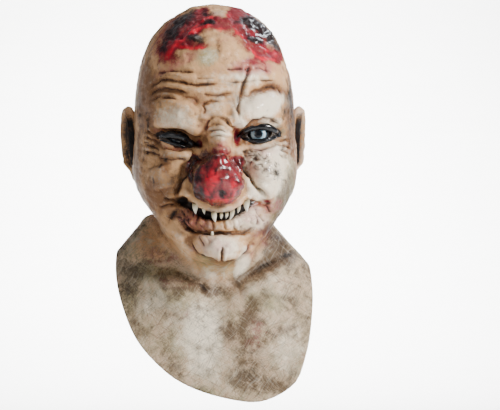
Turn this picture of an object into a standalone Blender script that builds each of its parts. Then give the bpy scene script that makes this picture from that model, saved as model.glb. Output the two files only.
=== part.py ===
"""A pull-over goblin mask: a moulded latex skin with ears, neck and chest bib, two eye inserts and fangs."""

import math

import bmesh
import bpy
import numpy as np
from mathutils import Vector
from mathutils.bvhtree import BVHTree

# Driving dimensions, in metres. The face looks along -Y, +Z is up, and the crown rests on a head at z = 0.
HEAD_HEIGHT = 0.250      # crown to the underside of the chin
HEAD_WIDTH = 0.163       # across the cheeks, without the ears
FACE_DEPTH = 0.098       # ear line forward to the lips
BACK_DEPTH = 0.103       # ear line back to the occiput
NECK_WIDTH = 0.115
NECK_FRONT = 0.052       # ear line forward to the throat
NECK_BACK = 0.067        # ear line back to the nape
BIB_WIDTH = 0.196
BIB_DROP = 0.140         # chin down to the level that the front hem nearly reaches
BIB_DEPTH = 0.098        # ear line to the hem, front and back
BIB_SWELL = 0.009        # how far the chest and shoulders stand out between the neck and the hem
WALL = 0.0022            # moulded latex
RELIEF = 0.010           # unit of the face's raised and sunken forms
NOSE_WIDTH = 0.050
NOSE_REACH = 0.012       # face surface forward to the middle of the nose ball
EYE_DIAMETER = 0.027
EYE_SPACING = 0.080
EYE_SINK = 0.0185        # face surface back to the middle of the eye
EYE_GAP = 0.0012         # air between an eye insert and the lids
EYE_THICKNESS = 0.0084   # front of an eye insert to its flat back
LID_FILLET = 0.002
SLIT_WIDTH = 0.0028      # see-through slit at the inner corner of each eye
SLIT_HEIGHT = 0.0095
EAR_HEIGHT = 0.060
EAR_WIDTH = 0.034
EAR_THICKNESS = 0.0085
EAR_ANGLE = 20.0         # degrees that the ear stands off the head
EAR_SINK = 0.0045        # how deep the ear's front edge is set into the head
EAR_FRONT = 0.012        # ear's front edge ahead of the ear line
GUM_THICKNESS = 0.0065   # the skin is cast thick behind the fangs, to hold their sockets
GUM_MARGIN = 0.009       # how far the thick part runs past the outer fangs
GUM_CURVE = 0.020        # how far the thick part's back curves round the teeth
FANG_GAP = 0.0003        # air round each fang in its socket
FANG_STAND = 0.0005      # how far the middle of a fang's root stands in front of the gum
FANG_LEAN_OUT = 0.0012   # how much further its tip stands

HALF_HEAD = HEAD_WIDTH / 2
HALF_NECK = NECK_WIDTH / 2
HALF_BIB = BIB_WIDTH / 2
EYE_RADIUS = EYE_DIAMETER / 2
NOSE_RADIUS = NOSE_WIDTH / 2
CHIN_Z = WALL - HEAD_HEIGHT

# The modelling grid, and the triangles that its outer surface is thinned to.
COLUMNS = 104
FRONT_CROWDING = 0.45    # 0 spreads the columns evenly, and near 1 they crowd towards the face
ROWS_PER_SECTION = 6
SURFACE_TRIANGLES = 3800

# Cross-sections from the crown down to the jaw. down_* is the share of HEAD_HEIGHT at the face, the side and
# the back, width of HALF_HEAD, face of FACE_DEPTH, and mid and back of BACK_DEPTH. square fills the corners
# out.
HEAD_COLUMNS = ("down_face", "down_side", "down_back", "width", "face", "mid", "back", "square")
HEAD_SECTIONS = (
    (0.000, 0.000, 0.000, 0.000, -0.08, 0.08, 0.080, 0.00),
    (0.015, 0.015, 0.015, 0.270, 0.200, 0.07, 0.370, 0.02),
    (0.043, 0.043, 0.043, 0.450, 0.450, 0.06, 0.550, 0.04),
    (0.079, 0.079, 0.079, 0.607, 0.630, 0.05, 0.690, 0.05),
    (0.131, 0.131, 0.131, 0.742, 0.785, 0.04, 0.820, 0.06),
    (0.193, 0.193, 0.193, 0.840, 0.885, 0.03, 0.915, 0.07),
    (0.269, 0.269, 0.269, 0.908, 0.950, 0.02, 0.975, 0.08),
    (0.349, 0.349, 0.349, 0.951, 0.980, 0.00, 1.000, 0.08),
    (0.425, 0.425, 0.425, 0.975, 0.985, 0.00, 1.000, 0.08),
    (0.505, 0.505, 0.500, 0.982, 0.950, -0.02, 0.975, 0.08),
    (0.589, 0.585, 0.575, 0.994, 0.940, -0.05, 0.925, 0.07),
    (0.677, 0.657, 0.635, 1.000, 0.960, -0.10, 0.865, 0.06),
    (0.769, 0.713, 0.673, 0.970, 0.990, -0.18, 0.815, 0.04),
    (0.857, 0.761, 0.709, 0.908, 1.000, -0.25, 0.770, 0.02),
    (0.937, 0.797, 0.741, 0.834, 1.000, -0.29, 0.730, 0.00),
    (0.985, 0.821, 0.769, 0.773, 0.960, -0.29, 0.700, 0.00),
    (1.009, 0.837, 0.789, 0.730, 0.840, -0.21, 0.670, 0.00),
)

# The neck's sections, in the same columns, with width of HALF_NECK, face of NECK_FRONT, and mid and back of
# NECK_BACK.
NECK_SECTIONS = (
    (1.017, 0.849, 0.809, 1.000, 1.270, -0.12, 1.000, 0.00),
    (1.049, 0.861, 0.837, 1.000, 1.060, 0.06, 0.985, 0.00),
    (1.089, 0.877, 0.869, 1.025, 1.000, 0.09, 1.000, 0.00),
    (1.125, 0.897, 0.913, 1.090, 1.060, 0.12, 1.045, 0.00),
)

NECK_SLANT = (0.000, 0.012, 0.026, 0.040)   # how much higher each neck section runs at -X, of HEAD_HEIGHT
NECK_SPREAD = (0.02, 0.06, 0.11, 0.13)      # how much further out it runs there, of HALF_NECK

# The bib's cut edge. azimuth is in degrees from the face towards +X, x a share of HALF_BIB, y of BIB_DEPTH,
# drop, how far it lies below the chin, of BIB_DROP, and swell, how far the skin above it stands out, of
# BIB_SWELL.
# Columns: azimuth, x, y, drop, swell
HEM = (
    (-180, 0.00, 1.00, 0.57, 0.9),
    (-150, -0.46, 0.93, 0.49, 0.9),
    (-120, -0.86, 0.58, 0.22, 0.6),
    (-90, -0.985, 0.05, -0.03, 0.4),
    (-72, -1.01, -0.30, 0.12, 0.6),
    (-60, -0.965, -0.55, 0.30, 0.8),
    (-47, -0.82, -0.76, 0.545, 1.0),
    (-33, -0.57, -0.89, 0.74, 1.0),
    (-17, -0.28, -0.96, 0.865, 1.0),
    (0, 0.10, -1.00, 0.945, 1.0),
    (14, 0.43, -0.99, 0.962, 0.9),
    (29, 0.74, -0.93, 0.852, 0.8),
    (43, 0.86, -0.84, 0.68, 0.6),
    (56, 0.935, -0.68, 0.47, 0.3),
    (72, 0.975, -0.38, 0.23, 0.1),
    (90, 0.955, 0.05, 0.07, 0.0),
    (120, 0.86, 0.58, 0.24, 0.5),
    (150, 0.46, 0.93, 0.49, 0.9),
    (180, 0.00, 1.00, 0.57, 0.9),
)
# Share of the way down from the neck to the hem, and share of the swell there.
SWELL_PROFILE = ((0.25, 1.00), (0.50, 0.62), (0.75, 0.15), (1.00, 0.00))

# Raised and sunken forms, pushed forward from the smooth head. x, half_width and half_height are shares of
# HALF_HEAD, down of HEAD_HEIGHT, and rise of RELIEF; tilt is in degrees, anticlockwise from the front.
# Columns: x, down, half_width, half_height, tilt, rise
FORMS = {
    "glabella": (0.01, 0.440, 0.26, 0.22, 0, 0.60),
    "bridge": (0.01, 0.540, 0.17, 0.36, 0, 1.40),
    "cheek_left": (-0.70, 0.690, 0.34, 0.46, 6, 0.95),
    "cheek_right": (0.62, 0.672, 0.34, 0.44, -8, 1.20),
    "muzzle": (0.01, 0.752, 0.58, 0.34, 0, 1.00),
    "mouth_pit_left": (-0.47, 0.758, 0.14, 0.10, 10, -0.75),
    "mouth_pit_right": (0.46, 0.762, 0.14, 0.10, -10, -0.60),
    "lower_lip": (0.01, 0.848, 0.48, 0.14, 0, 0.35),
    "chin": (0.01, 0.938, 0.37, 0.25, 0, 1.00),
    "wound_left": (-0.42, 0.135, 0.46, 0.30, 32, -0.35),
    "wound_right": (0.52, 0.150, 0.46, 0.30, -36, -0.35),
    "throat_notch": (0.02, 1.145, 0.17, 0.12, 0, -0.55),
    "chest_left": (-0.58, 1.270, 0.62, 0.50, 0, 0.45),
    "chest_right": (0.60, 1.265, 0.62, 0.50, 0, 0.45),
}

# Forms round the eyes, in the same columns. x is towards the ear and down from the eye's middle, and they, the
# half_width and the half_height are shares of EYE_DIAMETER.
EYE_FORMS = {
    "eye_squinting": (
        (0.10, -1.02, 1.39, 0.60, -18, 0.90),
        (0.03, -0.02, 1.15, 0.60, -12, -1.30),
        (-0.77, 0.03, 0.33, 0.45, 0, -0.75),
        (0.00, 0.60, 1.03, 0.33, -8, 0.35),
    ),
    "eye_open": (
        (-0.04, -0.85, 1.33, 0.60, 17, 1.00),
        (-0.04, 0.02, 1.15, 0.63, 4, -1.30),
        (-0.77, 0.14, 0.33, 0.45, 0, -0.75),
        (0.02, 0.60, 1.03, 0.36, 6, 0.40),
    ),
}

# Folds along the skin, pressed in where depth is positive and raised where it is negative. depth is a share
# of RELIEF and width of HALF_HEAD, and the points are (x, down) shares as above.
# Columns: depth, width, points
FOLDS = {
    "laugh_line_left": (0.65, 0.050, ((-0.22, 0.550), (-0.34, 0.590), (-0.43, 0.645), (-0.48, 0.700),
                                      (-0.57, 0.745))),
    "laugh_line_right": (0.65, 0.050, ((0.22, 0.550), (0.32, 0.605), (0.37, 0.665), (0.47, 0.725),
                                       (0.62, 0.765))),
    "lip_edge": (-0.40, 0.055, ((-0.47, 0.728), (-0.32, 0.748), (-0.17, 0.774), (0.00, 0.788), (0.17, 0.774),
                                (0.30, 0.742), (0.47, 0.722))),
    "mouth": (0.55, 0.060, ((-0.52, 0.752), (-0.32, 0.782), (-0.17, 0.812), (0.00, 0.826), (0.17, 0.810),
                            (0.32, 0.778), (0.50, 0.756))),
    "chin_fold": (0.35, 0.050, ((-0.46, 0.842), (-0.28, 0.868), (-0.08, 0.880), (0.14, 0.880), (0.34, 0.868),
                                (0.48, 0.842))),
    "frown_left": (0.30, 0.040, ((-0.10, 0.372), (-0.16, 0.400), (-0.20, 0.440))),
    "frown_right": (0.35, 0.040, ((0.34, 0.260), (0.29, 0.330), (0.25, 0.400), (0.22, 0.432))),
    "forehead_low": (0.22, 0.045, ((-0.74, 0.345), (-0.58, 0.312), (-0.38, 0.316), (-0.10, 0.338),
                                   (0.20, 0.340))),
    "forehead_high": (0.22, 0.045, ((-0.72, 0.272), (-0.50, 0.256), (-0.26, 0.262), (0.10, 0.258),
                                    (0.60, 0.250))),
    "jaw_cord_left": (-0.40, 0.070, ((-0.84, 0.780), (-0.62, 0.870), (-0.40, 0.985), (-0.25, 1.080))),
    "jaw_cord_right": (-0.35, 0.070, ((0.70, 0.850), (0.42, 0.960), (0.27, 1.050), (0.20, 1.090))),
    "collar_fold_left": (0.35, 0.070, ((-1.22, 1.020), (-0.82, 1.036), (-0.46, 1.052), (-0.19, 1.096))),
    "collar_bone_left": (-0.40, 0.110, ((-1.18, 1.062), (-0.80, 1.076), (-0.46, 1.098), (-0.20, 1.135))),
    "collar_fold_right": (0.60, 0.070, ((1.02, 0.957), (0.74, 1.004), (0.52, 1.043), (0.23, 1.095))),
    "collar_bone_right": (-0.50, 0.110, ((1.04, 1.010), (0.76, 1.052), (0.52, 1.088), (0.26, 1.135))),
}

NOSE_X, NOSE_DOWN = -0.04, 0.672     # middle of the nose ball, as shares of HALF_HEAD and HEAD_HEIGHT
NOSE_ROOT = 0.95                     # radius of the skin that wraps it, as a share of NOSE_RADIUS
NOSE_WRAP, BRIDGE_WRAP = 112, 70     # degrees that it wraps from the ball's front, below and at the bridge
NOSE_FAIRING = 0.72                  # share of that skin's radius inside which the ball is whole
EAR_DOWN = 0.553                     # middle of the ears, as a share of HEAD_HEIGHT
EAR_LEAN, EAR_FLARE = 0.10, 0.06     # how far the ear's top leans back and out, for each unit up
EAR_ROOT = 0.40                      # share of EAR_WIDTH from the ear's middle to its front edge
SLIT_X, SLIT_DOWN = -0.77, 0.05      # each slit from its eye's middle, as shares of EYE_DIAMETER

# Eye openings. side is the sign of x, down the middle's share of HEAD_HEIGHT, the almond's half sizes are
# shares of EYE_RADIUS, and tilt is in degrees.
EYE_COLUMNS = ("side", "down", "half_width", "upper", "lower", "tilt")
EYES = {
    "eye_squinting": (-1, 0.525, 0.86, 0.30, 0.26, -15),
    "eye_open": (1, 0.505, 0.86, 0.50, 0.42, 5),
}
EYE_TINTS = {"eye_squinting": (0.02, 0.025, 0.03), "eye_open": (0.55, 0.66, 0.74)}

# Fangs. x, thickness and lean, the tip's sideways step, are shares of HALF_HEAD, and root and length of
# HEAD_HEIGHT.
# Columns: x, root, length, thickness, lean
FANGS = {
    "fang_1": (-0.295, 0.764, 0.048, 0.042, 0.01),
    "fang_2": (-0.200, 0.778, 0.034, 0.026, 0.02),
    "fang_3": (-0.075, 0.796, 0.046, 0.040, 0.02),
    "fang_4": (0.012, 0.802, 0.028, 0.024, 0.00),
    "fang_5": (0.078, 0.800, 0.028, 0.024, -0.01),
    "fang_6": (0.145, 0.790, 0.042, 0.032, -0.03),
    "fang_7": (0.222, 0.774, 0.034, 0.026, -0.01),
    "fang_8": (0.312, 0.752, 0.052, 0.045, 0.01),
    "lower_fang_1": (-0.330, 0.858, -0.032, 0.024, 0.00),
    "lower_fang_2": (-0.095, 0.893, -0.026, 0.022, 0.00),
    "lower_fang_3": (0.135, 0.868, -0.026, 0.026, 0.01),
}
FANG_SIDES = 8
FANG_RINGS = 5


def clear_scene():
    """Removes what the file opened with."""
    for obj in list(bpy.data.objects):
        bpy.data.objects.remove(obj)


def collection(name):
    """Adds a collection to the scene."""
    made = bpy.data.collections.new(name)
    bpy.context.scene.collection.children.link(made)
    return made


def material(name, colour, roughness):
    """A plain painted or cast finish."""
    made = bpy.data.materials.new(name)
    made.use_nodes = True
    shader = made.node_tree.nodes["Principled BSDF"]
    shader.inputs["Base Color"].default_value = (*colour, 1)
    shader.inputs["Roughness"].default_value = roughness
    shader.inputs["Metallic"].default_value = 0.0
    return made


def eased(low, high, value):
    """0 below low, 1 above high, and a smooth rise between them."""
    share = np.clip((value - low) / (high - low), 0, 1)
    return share * share * (3 - 2 * share)


def through(values, place):
    """Catmull-Rom curve through the values of axis 0, read at fractional places."""
    values = np.asarray(values, float)
    last = len(values) - 1
    start = np.clip(np.floor(place).astype(int), 0, last - 1)
    t = (place - start).reshape(-1, *([1] * (values.ndim - 1)))
    before, here = values[np.maximum(start - 1, 0)], values[start]
    there, after = values[start + 1], values[np.minimum(start + 2, last)]
    return 0.5 * (2 * here + (there - before) * t + (2 * before - 5 * here + 4 * there - after) * t**2
                  + (3 * here - before - 3 * there + after) * t**3)


def ring(section, width, face, back, u):
    """One closed cross-section, at azimuths u from the face towards +X."""
    s = dict(zip(HEAD_COLUMNS, section))
    cos, sin = np.cos(u), np.sin(u)
    in_front = cos > 0
    mid_y = s["mid"] * back
    reach = np.where(in_front, s["face"] * face + mid_y, s["back"] * back - mid_y)
    down = s["down_side"] + np.where(in_front, s["down_face"] - s["down_side"],
                                     s["down_back"] - s["down_side"]) * cos**2
    x = s["width"] * width * sin * (1 + s["square"] * cos**2)
    y = mid_y - reach * cos * (1 + s["square"] * sin**2)
    return np.stack([x, y, WALL - down * HEAD_HEIGHT], axis=1)


def hem(u):
    """The bib's cut edge at azimuths u, and how far the bib swells above it."""
    table = np.array(HEM, float)
    place = np.interp(np.degrees(u), table[:, 0], np.arange(len(table)))
    x, y, drop, swell = through(table[:, 1:], place).T
    edge = np.stack([x * HALF_BIB, y * BIB_DEPTH, CHIN_Z - drop * BIB_DROP], axis=1)
    return edge, swell[:, None] * BIB_SWELL


def smooth_form():
    """The mask without its face: a grid of points from the crown down the head and neck, out to the hem."""
    even = np.linspace(-math.pi, math.pi, COLUMNS, endpoint=False)
    u = even - FRONT_CROWDING * np.sin(even)
    rings = [ring(s, HALF_HEAD, FACE_DEPTH, BACK_DEPTH, u) for s in HEAD_SECTIONS]
    to_minus_x = np.clip(-np.sin(u), 0, 1) ** 2
    for section, slant, spread in zip(NECK_SECTIONS, NECK_SLANT, NECK_SPREAD):
        points = ring(section, HALF_NECK, NECK_FRONT, NECK_BACK, u)
        points[:, 2] += slant * HEAD_HEIGHT * to_minus_x
        points[:, 0] -= spread * HALF_NECK * to_minus_x
        rings.append(points)
    neck, (edge, swell) = rings[-1], hem(u)
    outward = np.stack([np.sin(u), -np.cos(u), np.zeros_like(u)], axis=1)
    run = (edge - neck) / np.linalg.norm(edge - neck, axis=1, keepdims=True)
    rise = outward - (outward * run).sum(1, keepdims=True) * run
    rise /= np.linalg.norm(rise, axis=1, keepdims=True)
    for down, share in SWELL_PROFILE:
        rings.append(neck + (edge - neck) * down + rise * swell * share)
    places = np.linspace(0, len(rings) - 1, (len(rings) - 1) * ROWS_PER_SECTION + 1)
    return u, through(rings, places)


def distance_to_path(x, z, points):
    """How far each (x, z) lies from a smooth line through the points, and how far along it, as a share."""
    corners = through(np.array(points), np.linspace(0, len(points) - 1, 4 * len(points)))
    corners = corners * np.array([HALF_HEAD, -HEAD_HEIGHT]) + np.array([0, WALL])
    nearest, along = np.full(x.shape, np.inf), np.zeros(x.shape)
    pieces = len(corners) - 1
    for i, (a, b) in enumerate(zip(corners[:-1], corners[1:])):
        run = b - a
        t = np.clip(((x - a[0]) * run[0] + (z - a[1]) * run[1]) / (run @ run), 0, 1)
        away = np.hypot(x - a[0] - t * run[0], z - a[1] - t * run[1])
        closer = away < nearest
        nearest, along = np.where(closer, away, nearest), np.where(closer, (i + t) / pieces, along)
    return nearest, along


def all_forms():
    """Every raised or sunken form as (x, z, half width, half height, tilt, rise), in metres and radians."""
    for x, down, half_width, half_height, tilt, rise in FORMS.values():
        yield (x * HALF_HEAD, WALL - down * HEAD_HEIGHT, half_width * HALF_HEAD, half_height * HALF_HEAD,
               math.radians(tilt), rise * RELIEF)
    for name, rows in EYE_FORMS.items():
        side, eye_x, eye_z = eye_place(name)
        for x, down, half_width, half_height, tilt, rise in rows:
            yield (eye_x + side * x * EYE_DIAMETER, eye_z - down * EYE_DIAMETER, half_width * EYE_DIAMETER,
                   half_height * EYE_DIAMETER, math.radians(tilt), rise * RELIEF)


def eye_place(name):
    """An eye's side, and the x and z of its middle."""
    side, down = EYES[name][:2]
    return side, side * EYE_SPACING / 2, WALL - down * HEAD_HEIGHT


def relief(x, z):
    """How far the face stands in front of the smooth head at (x, z)."""
    rise = np.zeros(x.shape)
    for middle_x, middle_z, half_width, half_height, tilt, height in all_forms():
        dx, dz = x - middle_x, z - middle_z
        across = (dx * math.cos(tilt) + dz * math.sin(tilt)) / half_width
        up = (dz * math.cos(tilt) - dx * math.sin(tilt)) / half_height
        rise += height * np.clip(1 - across**2 - up**2, 0, 1) ** 1.5
    for depth, width, points in FOLDS.values():
        away, along = distance_to_path(x, z, points)
        fade = eased(0, 0.2, along) * eased(0, 0.2, 1 - along)
        rise -= depth * RELIEF * np.exp(-((away / (width * HALF_HEAD)) ** 2)) * fade
    return rise


def forward_of(points, x, z):
    """How far forward the front of a grid of points lies at (x, z)."""
    front = points.reshape(-1, 3)
    front = front[front[:, 1] < 0]
    away = np.hypot(front[:, 0] - x, front[:, 2] - z)
    near = np.argsort(away)[:4]
    weight = 1 / (away[near] + 1e-6)
    return -float((front[near, 1] * weight).sum() / weight.sum())


def eye_centres(smooth):
    """The middle of each eye insert."""
    centres = {}
    for name in EYES:
        _, x, z = eye_place(name)
        centres[name] = np.array([x, EYE_SINK - forward_of(smooth, x, z), z])
    return centres


def with_lids(points, centres):
    """Pushes the skin forward over each eye, so that the lids stand off it by the gap and their thickness."""
    x, z = points[..., 0], points[..., 2]
    lid = EYE_RADIUS + EYE_GAP + WALL * 1.12
    for centre in centres.values():
        away = np.hypot(x - centre[0], z - centre[2])
        dome = centre[1] - np.sqrt(np.clip(lid**2 - away**2, 0, None))
        near = (away < lid) & (points[..., 1] < 0)
        step = np.clip(0.5 + (points[..., 1] - dome) / (2 * LID_FILLET), 0, 1)
        faired = points[..., 1] * (1 - step) + dome * step - LID_FILLET * step * (1 - step)
        points[..., 1] = np.where(near, faired, points[..., 1])
    return points


def with_nose(points, u):
    """Wraps the disc of skin in the middle of the face round a ball, undercut below and faired in above."""
    middle_x, middle_z = NOSE_X * HALF_HEAD, WALL - NOSE_DOWN * HEAD_HEIGHT
    disc = NOSE_RADIUS * NOSE_ROOT
    x, z = points[..., 0] - middle_x, points[..., 2] - middle_z
    r = np.hypot(x, z) / disc
    theta = np.arctan2(z, x)
    reach = np.radians(NOSE_WRAP - (NOSE_WRAP - BRIDGE_WRAP) * eased(0.1, 1.0, np.sin(theta)))
    phi = np.minimum(r, 1) * reach
    middle_y = -forward_of(points, middle_x, middle_z) - NOSE_REACH
    pinch = 1.05 - 0.20 * eased(-0.4, 1.0, np.sin(phi) * np.sin(theta))
    ball = np.stack([middle_x + NOSE_RADIUS * pinch * np.sin(phi) * np.cos(theta),
                     middle_y - NOSE_RADIUS * np.cos(phi),
                     middle_z + NOSE_RADIUS * np.sin(phi) * np.sin(theta)], axis=-1)
    hold = (eased(1.0, NOSE_FAIRING, r) * (np.cos(u) > 0)[None, :])[..., None]
    return points * (1 - hold) + ball * hold


def outer_skin():
    """The mask's outer surface as a grid of points, and the middles of the two eyes."""
    u, smooth = smooth_form()
    centres = eye_centres(smooth)
    points = smooth.copy()
    facing = eased(0.05, 0.40, np.cos(u))[None, :]
    points[..., 1] -= relief(points[..., 0], points[..., 2]) * facing
    points = with_lids(points, centres)
    return with_nose(points, u), centres


def grid_mesh(name, points):
    """A mesh of quads over the grid, with the first row drawn together at the crown."""
    rows, columns = points.shape[:2]
    bm = bmesh.new()
    crown = bm.verts.new(points[0].mean(0))
    verts = [[bm.verts.new(p) for p in line] for line in points[1:]]
    for j in range(columns):
        k = (j + 1) % columns
        bm.faces.new((crown, verts[0][j], verts[0][k]))
        for i in range(rows - 2):
            bm.faces.new((verts[i][j], verts[i + 1][j], verts[i + 1][k], verts[i][k]))
    return mesh_from(bm, name)


def mesh_from(bm, name):
    """Turns a bmesh into a mesh."""
    mesh = bpy.data.meshes.new(name)
    bm.to_mesh(mesh)
    bm.free()
    return mesh


def thinned(mesh, triangles, tools):
    """The same surface in fewer triangles, kept closest where it bends most."""
    guide = hide_tool(add_object("surface_guide", mesh, tools))
    mesh.calc_loop_triangles()
    decimate = guide.modifiers.new("Decimate", "DECIMATE")
    decimate.ratio = triangles / len(mesh.loop_triangles)
    decimate.use_collapse_triangulate = True
    return bpy.data.meshes.new_from_object(guide.evaluated_get(bpy.context.evaluated_depsgraph_get()))


def add_object(name, mesh, into, finish=None):
    """Links a mesh into a collection as an object."""
    obj = bpy.data.objects.new(name, mesh)
    into.objects.link(obj)
    if finish:
        mesh.materials.append(finish)
        mesh.shade_smooth()
    return obj


def hide_tool(obj):
    """Marks a cutter or a guide, which isn't part of the mask."""
    obj.hide_render = True
    obj.display_type = "WIRE"
    return obj


def cut_or_join(obj, tool, operation):
    """Adds a Boolean modifier."""
    modifier = obj.modifiers.new(operation.title(), "BOOLEAN")
    modifier.operation = operation
    modifier.object = tool
    modifier.solver = "EXACT"


def half_wall_volume(surface, tools):
    """A closed body that ends halfway through the skin's wall, which trims the ears' roots."""
    bm = bmesh.new()
    bm.from_mesh(surface)
    normals = {v: v.normal.copy() for v in bm.verts}
    for v, normal in normals.items():
        v.co -= normal * WALL / 2
    rim = [e for e in bm.edges if e.is_boundary]
    middle = bm.verts.new(sum((v.co for e in rim for v in e.verts), Vector()) / (2 * len(rim)))
    for edge in rim:
        bm.faces.new((*edge.verts, middle))
    bmesh.ops.recalc_face_normals(bm, faces=bm.faces)
    return hide_tool(add_object("half_wall", mesh_from(bm, "half_wall"), tools))


def ear_point(p):
    """A point of the unit ball moved to the ear's form: x out of the ear, y to its back edge and z up."""
    r, angle = math.hypot(p.y, p.z), math.atan2(p.z, p.y)
    outline = 1 + 0.13 * math.cos(angle - math.radians(55)) - 0.07 * math.cos(2 * angle)
    lobe = float(eased(-0.45, -0.80, p.z))
    fold = float(eased(-1.0, -0.6, math.cos(angle)))
    if p.x > 0:
        rim = math.exp(-(((r - 0.87) / 0.11) ** 2)) * (1 - lobe)
        inner_ridge = math.exp(-(((r - 0.52) / 0.12) ** 2)) * fold * (1 - lobe)
        bowl = math.exp(-(((p.y + 0.16) / 0.34) ** 2) - ((p.z + 0.12) / 0.34) ** 2)
        out = 0.35 + 0.30 * p.x + 1.10 * rim + 0.50 * inner_ridge - 1.30 * bowl
    else:
        out = 0.35 + 1.25 * p.x
    return Vector((out * EAR_THICKNESS / 2, p.y * outline * EAR_WIDTH / 2, p.z * outline * EAR_HEIGHT / 2))


def ear(side, points, trim, tools):
    """A cupped ear, its front edge sunk into the side of the head."""
    bm = bmesh.new()
    bmesh.ops.create_uvsphere(bm, u_segments=26, v_segments=16, radius=1)
    for v in bm.verts:
        v.co = ear_point(Vector((v.co.z, v.co.x, v.co.y)))
    level = WALL - EAR_DOWN * HEAD_HEIGHT
    head = points.reshape(-1, 3)
    near = head[(np.abs(head[:, 2] - level) < 0.04 * HEAD_HEIGHT) & (head[:, 0] * side > 0)]
    wall_x = float(np.abs(near[:, 0]).max())
    angle = math.radians(EAR_ANGLE)
    for v in bm.verts:
        out, back, up = v.co
        along = back + EAR_WIDTH * EAR_ROOT
        x = wall_x - EAR_SINK + along * math.sin(angle) + out * math.cos(angle) + up * EAR_FLARE
        y = along * math.cos(angle) - out * math.sin(angle) + up * EAR_LEAN - EAR_FRONT
        v.co = Vector((side * x, y, level + up))
    bmesh.ops.recalc_face_normals(bm, faces=bm.faces)
    obj = hide_tool(add_object("ear_right" if side > 0 else "ear_left", mesh_from(bm, "ear"), tools))
    cut_or_join(obj, trim, "DIFFERENCE")
    return obj


def almond(name, centre, tools):
    """The prism that opens the lids in front of an eye."""
    e = dict(zip(EYE_COLUMNS, EYES[name]))
    tilt = math.radians(e["tilt"])
    outline = []
    for i in range(20):
        a = 2 * math.pi * i / 20
        x = e["half_width"] * math.cos(a)
        z = (e["upper"] if math.sin(a) > 0 else e["lower"]) * math.sin(a) * (1 - 0.25 * math.cos(a) ** 2)
        outline.append((EYE_RADIUS * (x * math.cos(tilt) - z * math.sin(tilt)),
                        EYE_RADIUS * (x * math.sin(tilt) + z * math.cos(tilt))))
    return prism(f"{name}_opening", outline, centre, -0.15 * EYE_RADIUS, -4 * EYE_RADIUS, tools)


def prism(name, outline, centre, back, front, tools):
    """An outline in x and z run along y, from back to front of the centre."""
    bm = bmesh.new()
    corners = [bm.verts.new((centre[0] + x, centre[1] + back, centre[2] + z)) for x, z in outline]
    face = bm.faces.new(corners)
    made = bmesh.ops.extrude_face_region(bm, geom=[face])
    moved = [g for g in made["geom"] if isinstance(g, bmesh.types.BMVert)]
    bmesh.ops.translate(bm, verts=moved, vec=(0, front - back, 0))
    bmesh.ops.recalc_face_normals(bm, faces=bm.faces)
    return hide_tool(add_object(name, mesh_from(bm, name), tools))


def front_of(surface, x, z):
    """Where the surface first lies ahead of the wearer's face at (x, z), under anything that overhangs."""
    hit = surface.ray_cast(Vector((x, -FACE_DEPTH / 2, z)), Vector((0, -1, 0)))[0]
    return hit.y


def slit(name, surface, tools):
    """The see-through slit beside the nose."""
    side, x, z = eye_place(name)
    x, z = x + side * SLIT_X * EYE_DIAMETER, z - SLIT_DOWN * EYE_DIAMETER
    outline = [(SLIT_WIDTH / 2 * math.cos(a), SLIT_HEIGHT / 2 * math.sin(a))
               for a in (2 * math.pi * i / 10 for i in range(10))]
    return prism(f"{name}_slit", outline, (x, front_of(surface, x, z), z), 6 * WALL, -6 * WALL, tools)


def eye_insert(name, centre, into):
    """A cast eye: the front of a ball, cut off flat behind."""
    bm = bmesh.new()
    bmesh.ops.create_uvsphere(bm, u_segments=20, v_segments=14, radius=EYE_RADIUS)
    for v in bm.verts:
        v.co = Vector((v.co.x, -v.co.z, v.co.y))
    back = (0, EYE_THICKNESS - EYE_RADIUS, 0)
    sliced = bmesh.ops.bisect_plane(bm, geom=bm.verts[:] + bm.edges[:] + bm.faces[:], plane_co=back,
                                    plane_no=(0, 1, 0), clear_outer=True)
    rim = [g for g in sliced["geom_cut"] if isinstance(g, bmesh.types.BMEdge)]
    bmesh.ops.edgeloop_fill(bm, edges=rim)
    bmesh.ops.recalc_face_normals(bm, faces=bm.faces)
    add_object(name, mesh_from(bm, name), into, material(name, EYE_TINTS[name], 0.08)).location = centre


def fang_mesh(name, root, tip, radius, extra):
    """A bowed cone from root to tip, swollen all round by extra."""
    bm = bmesh.new()
    axis = (tip - root).normalized()
    root, tip = root - axis * extra, tip + axis * extra
    side = Vector((0, -1, 0)).cross(axis).normalized()
    face = axis.cross(side).normalized()
    rings = []
    for i in range(FANG_RINGS):
        t = i / FANG_RINGS
        bow = face * radius * 0.9 * math.sin(math.pi * t) * -0.35
        width = radius * (1 - t**1.7) * (0.86 + 0.14 * math.sin(math.pi * t)) + extra
        middle = root.lerp(tip, t) + bow
        rings.append([bm.verts.new(middle + (side * math.cos(a) + face * math.sin(a)) * width)
                      for a in (2 * math.pi * k / FANG_SIDES for k in range(FANG_SIDES))])
    point = bm.verts.new(tip)
    bm.faces.new(rings[0])
    for k in range(FANG_SIDES):
        n = (k + 1) % FANG_SIDES
        for lower, upper in zip(rings[:-1], rings[1:]):
            bm.faces.new((lower[k], lower[n], upper[n], upper[k]))
        bm.faces.new((rings[-1][k], rings[-1][n], point))
    bmesh.ops.recalc_face_normals(bm, faces=bm.faces)
    return mesh_from(bm, name)


def fang_ends(row, surface):
    """The root and the tip of a fang, and its radius."""
    x, root, length, thickness, lean = row
    ends = []
    for share, stand in ((0, FANG_STAND), (1, FANG_STAND + FANG_LEAN_OUT)):
        across, z = (x + lean * share) * HALF_HEAD, WALL - (root + length * share) * HEAD_HEIGHT
        ends.append(Vector((across, front_of(surface, across, z) - stand, z)))
    return *ends, thickness * HALF_HEAD


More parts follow.
